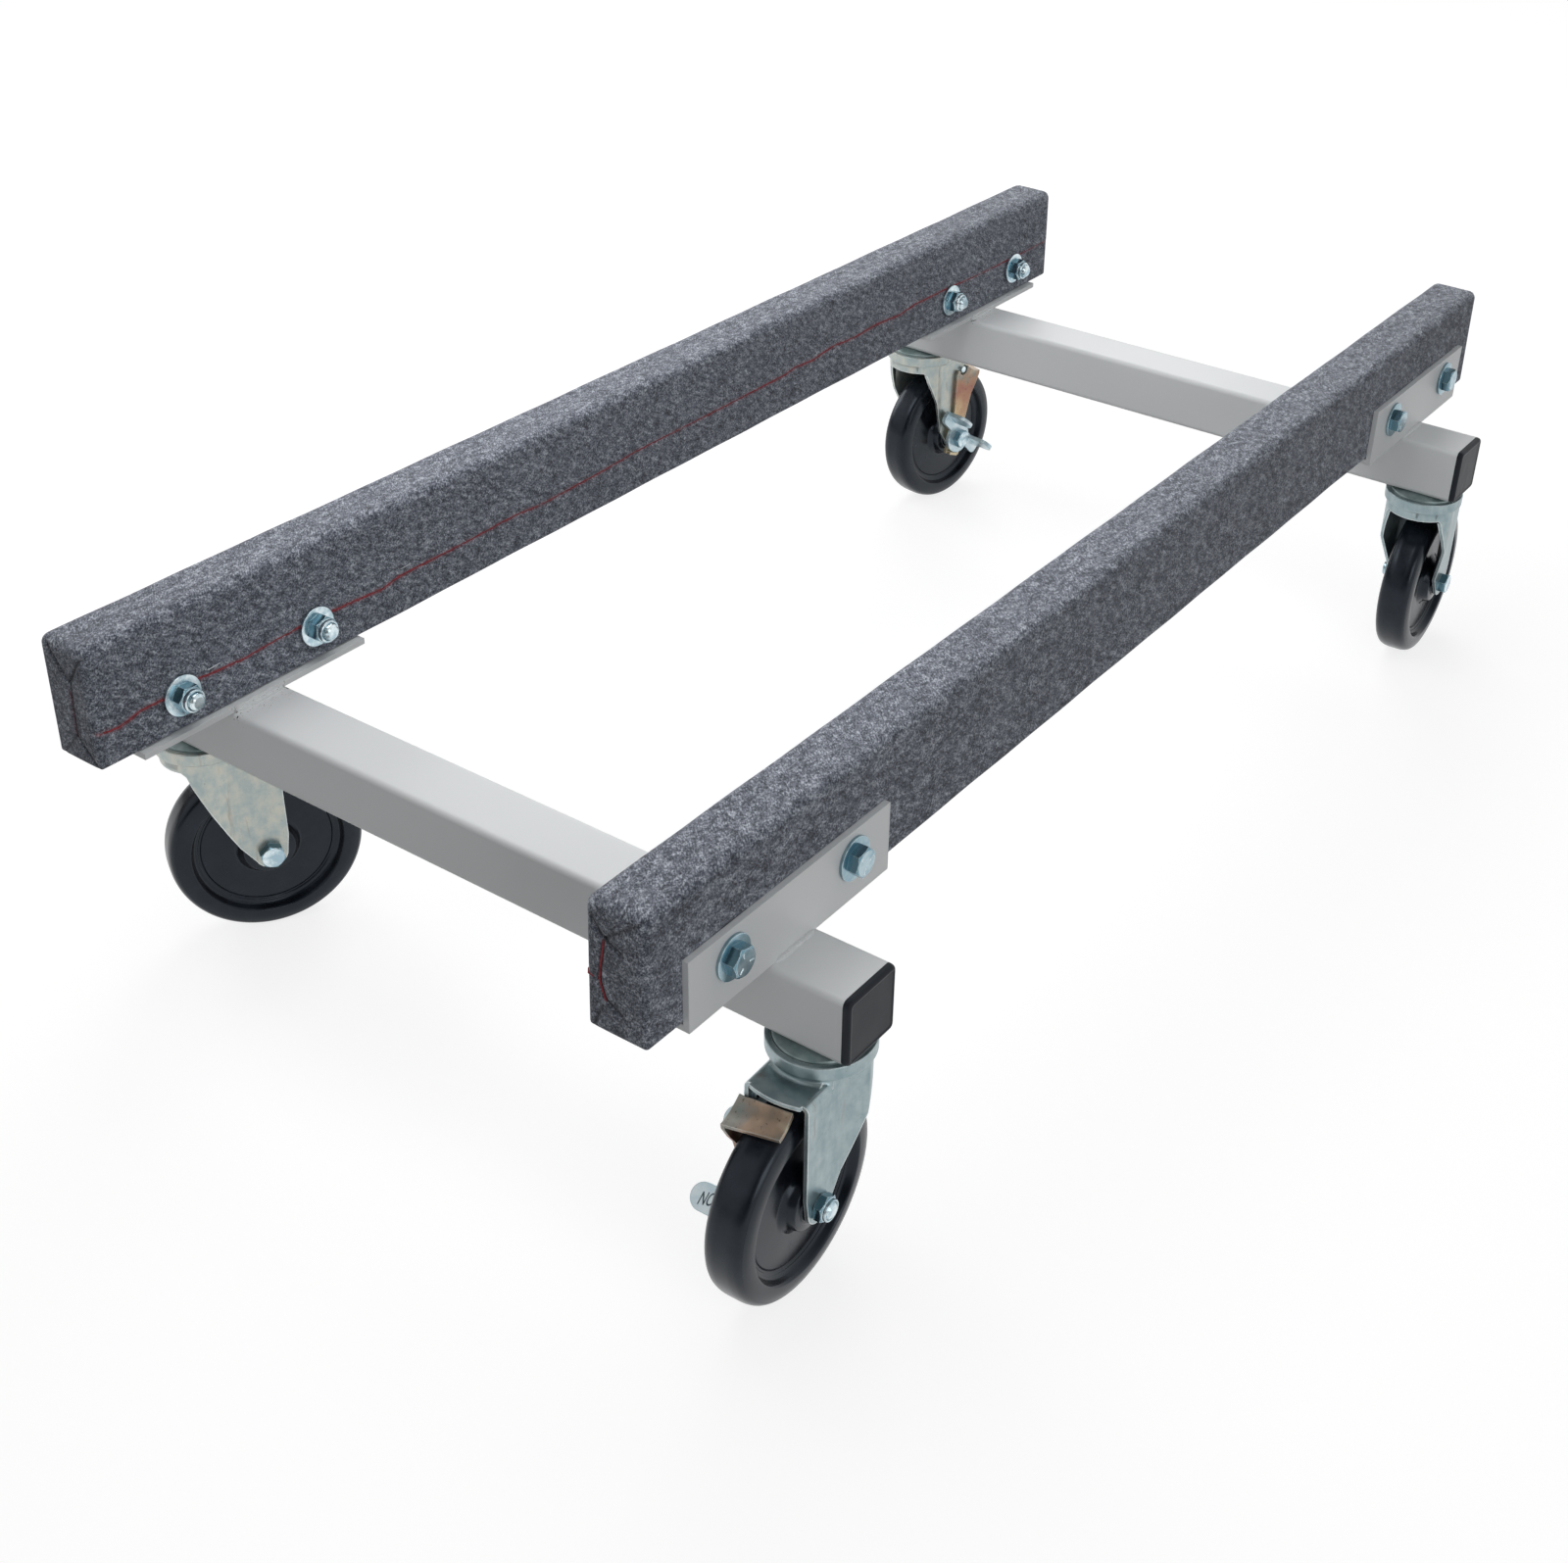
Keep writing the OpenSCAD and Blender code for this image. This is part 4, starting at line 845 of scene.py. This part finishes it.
def refined(name, finish, body, sharp=32):
    """Copy of a CAD node with its loose triangles joined and its curved faces shaded smooth."""
    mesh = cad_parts[name].data.copy()
    mesh.name = name + "_smooth"
    joined = bmesh.new()
    joined.from_mesh(mesh)
    bmesh.ops.remove_doubles(joined, verts=joined.verts, dist=merge_within)
    bmesh.ops.dissolve_limit(
        joined, angle_limit=math.radians(0.3), verts=joined.verts, edges=joined.edges,
        use_dissolve_boundaries=False)
    joined.to_mesh(mesh)
    joined.free()
    mesh.shade_smooth()
    mesh.set_sharp_from_angle(angle=math.radians(sharp))
    mesh.materials.clear()
    mesh.materials.append(finish.material)
    made = bpy.data.objects.new(name + "_smooth", mesh)
    bpy.context.scene.collection.objects.link(made)
    weighted = made.modifiers.new("weighted", "WEIGHTED_NORMAL")
    weighted.keep_sharp = True
    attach(made, body)
    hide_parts(name)
    return made


for corner in kingpins:
    refined(f"fork_{corner}", pressed_zinc, f"swivel_{corner}")
    dress(bright_zinc, f"axle_sleeve_{corner}")


# Wheels. Each is moulded in one piece from a hard charcoal black plastic, 6 inches across: a
# rounded tread, a lipped rim, a flat web and a stepped hub, with a grey bush pressed in.

wheel_plastic = Finish("wheel_plastic", colour=(0.01, 0.011, 0.014), roughness=0.3, specular_ior_level=0.38)
wheel_plastic.shader.inputs["Specular Tint"].default_value = (0.74, 0.86, 1, 1)
haze = wheel_plastic.noise(60, detail=4)
charcoal = wheel_plastic.mix(haze.step(0.3, 0.7), (0.006, 0.0075, 0.011), (0.016, 0.0195, 0.027))
wheel_plastic.give("Base Color", charcoal)
wheel_plastic.give("Roughness", 0.14 + 0.2 * haze)
wheel_plastic.relief(wheel_plastic.noise(1800, detail=1), 0.00001)
bush_plastic = Finish("bush_plastic", colour=(0.1, 0.1, 0.1), roughness=0.5)
bush_plastic.give("Roughness", 0.4 + 0.2 * bush_plastic.noise(500, detail=2))

axle_back = 0.0345
axle_up = 0.075


def eased(corners, steps=4):
    """Profile through corners of (radius, height, cut): each corner p is rounded by the curve
    (1-t)²a + 2t(1-t)p + t²c, with a and c its cut before and after it along the edges."""
    corners = np.array(corners, float)
    p, cut = corners[:, :2], corners[:, 2:]
    to_last, to_next = np.roll(p, 1, 0) - p, np.roll(p, -1, 0) - p
    a = p + cut * to_last / np.maximum(np.linalg.norm(to_last, axis=1, keepdims=True), 1e-9)
    c = p + cut * to_next / np.maximum(np.linalg.norm(to_next, axis=1, keepdims=True), 1e-9)
    t = np.linspace(0, 1, steps + 1)[:, None, None]
    return ((1 - t) ** 2 * a + 2 * t * (1 - t) * p + t ** 2 * c).transpose(1, 0, 2).reshape(-1, 2)


half_wheel = [
    (10.15, 20, 0), (14.5, 20, 0.8), (15, 19, 0.6), (20.2, 18.4, 1), (22.4, 12.5, 1.5), (25.8, 9.2, 1.5),
    (50.5, 9, 0.8), (51.3, 8.1, 0.5), (52.6, 8.1, 0.5), (53.4, 9, 0.8), (56.6, 9.3, 2), (58.4, 14.8, 1),
    (59.3, 16, 0.8), (67, 16, 4.5), (73.2, 13.2, 3.2), (75, 7.2, 3),
]
wheel_profile = in_mm(*eased(half_wheel + [(r, -h, cut) for r, h, cut in half_wheel[::-1]] + [half_wheel[0]]))


def by_caster(grid, corner):
    """Moves a grid from a caster's own axes, back to the axle, to the left and up, to its place."""
    x, y, turn = kingpins[corner]
    c, s = math.cos(math.radians(turn)), math.sin(math.radians(turn))
    return grid @ np.array([(c, s, 0), (-s, c, 0), (0, 0, 1)]) + (x, y, 0)


for corner in kingpins:
    wheel = by_caster(placed(turned(wheel_profile, count=144), (axle_back, 0, axle_up), (0, 1, 0)), corner)
    piece(f"moulded_wheel_{corner}", [wheel], wheel_plastic, f"wheel_{corner}",
          stands_for=[f"wheel_{corner}"], sharp=40)
    dress(bush_plastic, f"hub_bush_{corner}")


# Axles. A 12 mm bolt goes through both legs and the sleeve that the wheel turns on. Its head is on
# the caster's right, outside the brake lever where there is one, and its lock nut on the left.

leg_outside = 0.024
outside_lever = 0.0319
axle_tip = 0.0345
axle_r = 0.006
axle_af = 0.0175
axle_head = turned(in_mm(
    (0, 0), (9.5, 0), (10.2, 0.4), (10.2, 6.3), (9.8, 6.6), (9.3, 6.85), (8.8, 7.1), (8.3, 7.35), (7.7, 7.5),
    (0, 7.5),
), flats=axle_af)
axle_lock_nut = turned(in_mm(
    (6.1, 0), (8.3, 0), (9, 0.3), (9.6, 0.6), (10.2, 1), (10.2, 5.6), (9.7, 5.9), (9.2, 6.2), (8.6, 6.5),
    (8, 6.8), (7.9, 7), (7.9, 8.4), (7.8, 8.9), (7.5, 9.3), (7.1, 9.5), (6.7, 9.4), (6.5, 9.1), (6.4, 8.6),
    (6.1, 8.4), (6.1, 0),
), flats=axle_af)
# Rings of the axle head's and nut's hex flanks, which take the full painted teal shade.
axle_head_flank, axle_nut_flank = (2, 7), (3, 9)
braked = ("fr", "rl")
axle_turns = (12, 40, 25, 5)
for corner, spin in zip(kingpins, axle_turns):
    head_out = outside_lever if corner in braked else leg_outside
    axle_shank = shank(axle_r, axle_tip + head_out, threaded=0.02, pitch=0.00175)
    bolt = [
        placed(axle_head, (axle_back, -head_out, axle_up), (0, -1, 0), spin),
        placed(axle_shank, (axle_back, axle_tip, axle_up), (0, -1, 0)),
    ]
    axle_bolt_shade_marks = [mark_rings(axle_head, *axle_head_flank), mark_rings(axle_shank)]
    piece(f"axle_through_{corner}", [by_caster(g, corner) for g in bolt], bright_zinc, f"swivel_{corner}",
          stands_for=[f"axle_bolt_{corner}"], sharp=25, marks={"flats": axle_bolt_shade_marks})
    nut = placed(axle_lock_nut, (axle_back, leg_outside, axle_up), (0, 1, 0), spin + 20)
    axle_nut_shade_marks = [mark_rings(axle_lock_nut, *axle_nut_flank, rest=0.4)]
    piece(f"axle_lock_{corner}", [by_caster(nut, corner)], bright_zinc, f"swivel_{corner}",
          stands_for=[f"axle_nut_{corner}"], sharp=25, marks={"flats": axle_nut_shade_marks})


# Brakes, on the front right and rear left casters. A cam lever with two pedals, stamped ON and OFF,
# presses on the strap's ledge, which draws the shoe on the strap's upper end down on the tread. The
# strap is yellow passivated, with an oil-film play of bronze, gold and red; the lever is plain zinc.

yellow_zinc = Finish("yellow_zinc", colour=(0.5, 0.4, 0.26), roughness=0.35, metallic=0.6)
film = yellow_zinc.noise(45, detail=2)
grime = yellow_zinc.noise(420, detail=3)
strap_height = yellow_zinc.axis(2)
film_colour = yellow_zinc.ramp(
    (strap_height + 0.05 * film - 0.085) * 10,
    (0.0, (0.72, 0.6, 0.38)), (0.34, (0.62, 0.46, 0.27)), (0.52, (0.46, 0.25, 0.16)),
    (0.68, (0.4, 0.18, 0.13)), (0.78, (0.44, 0.26, 0.17)), (0.9, (0.33, 0.27, 0.21)),
)
# The shoe's oil-film play of teal grey, bronze and gold, where the palest cream patches are a painted
# highlight.
film_and_highlight_play = yellow_zinc.ramp(
    yellow_zinc.noise(30, detail=3, rough=0.55),
    (0.34, (0.27, 0.3, 0.28)), (0.46, (0.38, 0.29, 0.22)),
    (0.54, (0.5, 0.36, 0.26)), (0.64, (0.72, 0.62, 0.46)),
)
filmed = yellow_zinc.mix(strap_height.step(0.14, 0.152), film_colour, film_and_highlight_play)
clouded = yellow_zinc.mix(film.step(0.55, 0.68) * 0.5, filmed, (0.22, 0.27, 0.27))
grimy = yellow_zinc.mix(grime.step(0.62, 0.72) * 0.7, clouded, (0.08, 0.06, 0.05))
# Painted highlight: pale along the sharp edges.
strap_edge_highlight = yellow_zinc.along_edges(0.0009) * 0.75
yellow_zinc.give("Base Color", yellow_zinc.mix(strap_edge_highlight, grimy, (0.72, 0.72, 0.66)))
yellow_zinc.give("Roughness", 0.26 + 0.22 * grime)
yellow_zinc.relief(grime, 0.00004, edge=0.0006)
lever_zinc = Finish("lever_zinc", colour=(0.6, 0.7, 0.73), roughness=0.35, metallic=0.6)
lever_cloud = lever_zinc.noise(80, detail=3)
silvery = lever_zinc.mix(lever_cloud.step(0.3, 0.7), (0.56, 0.72, 0.79), (0.84, 0.93, 0.96))
# Painted shade: darker teal along the sharp edges, where a rounded edge would turn away.
lever_zinc.give("Base Color", lever_zinc.mix(lever_zinc.along_edges(0.0008), silvery, (0.3, 0.48, 0.55)))
lever_zinc.give("Roughness", 0.22 + 0.2 * lever_cloud)
lever_zinc.relief(lever_zinc.noise(800, detail=2), 0.00003, edge=0.0007)
# Painted shade: the raised letters are dark teal, standing for the shade inside stamped letters.
stamped_letter_shade = Finish("stamped_letter_shade", colour=(0.08, 0.12, 0.14), roughness=0.5, metallic=0.5)
stamped_letter_shade.give("Roughness", 0.4 + 0.3 * stamped_letter_shade.noise(900, detail=2))
stamped_letter_shade.give("Base Color", stamped_letter_shade.mix(stamped_letter_shade.noise(600), (0.05, 0.08, 0.1), (0.12, 0.17, 0.19)))


def stamped(word, height, depth):
    """Outline mesh of a word in capitals, centred on its own origin, given back as its points and
    its faces, with its back at nought and its front at a depth."""
    line = bpy.data.curves.new(word, "FONT")
    line.body = word
    line.align_x, line.align_y = "CENTER", "CENTER"
    line.size = height / 0.7
    line.extrude = depth / 2
    line.resolution_u = 4
    holder = bpy.data.objects.new(word, line)
    bpy.context.scene.collection.objects.link(holder)
    flat = bpy.data.meshes.new_from_object(holder)
    bpy.data.objects.remove(holder)
    points = np.empty(len(flat.vertices) * 3)
    flat.vertices.foreach_get("co", points)
    points = points.reshape(-1, 3)
    points -= (points.max(0) + points.min(0)) / 2
    return points + (0, 0, depth / 2), [tuple(f.vertices) for f in flat.polygons]


letter_height, letter_depth = 0.0092, 0.0003
pedal_side, pedal_reach, pedal_top = -0.0437, 0.0265, 0.0129
pedal_way = np.array((0.695, 0, -0.719))
pedal_up = np.array((0.719, 0, 0.695))
narrow_lean = np.array([(0.52, 0.14, 0), (0.1, 1, 0), (0, 0, 1)])
for corner in braked:
    for word, toward in (("ON", 1), ("OFF", -1)):
        points, faces = stamped(word, letter_height, letter_depth)
        along_lever = toward * pedal_way
        middle = (axle_back, pedal_side, axle_up) + pedal_reach * along_lever + pedal_top * pedal_up
        points = middle + points @ narrow_lean @ np.array([(0, -toward, 0), along_lever, pedal_up])
        letters = bpy.data.meshes.new(f"stamped_{word}_{corner}".lower())
        letters.from_pydata(by_caster(points, corner), [], faces)
        letters.materials.append(stamped_letter_shade.material)
        word_piece = bpy.data.objects.new(letters.name, letters)
        bpy.context.scene.collection.objects.link(word_piece)
        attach(word_piece, f"lever_{corner}")

for corner in braked:
    refined(f"brake_strap_{corner}", yellow_zinc, f"strap_{corner}")
    refined(f"brake_lever_{corner}", lever_zinc, f"lever_{corner}")
    dress(bright_zinc, f"brake_rivet_{corner}")
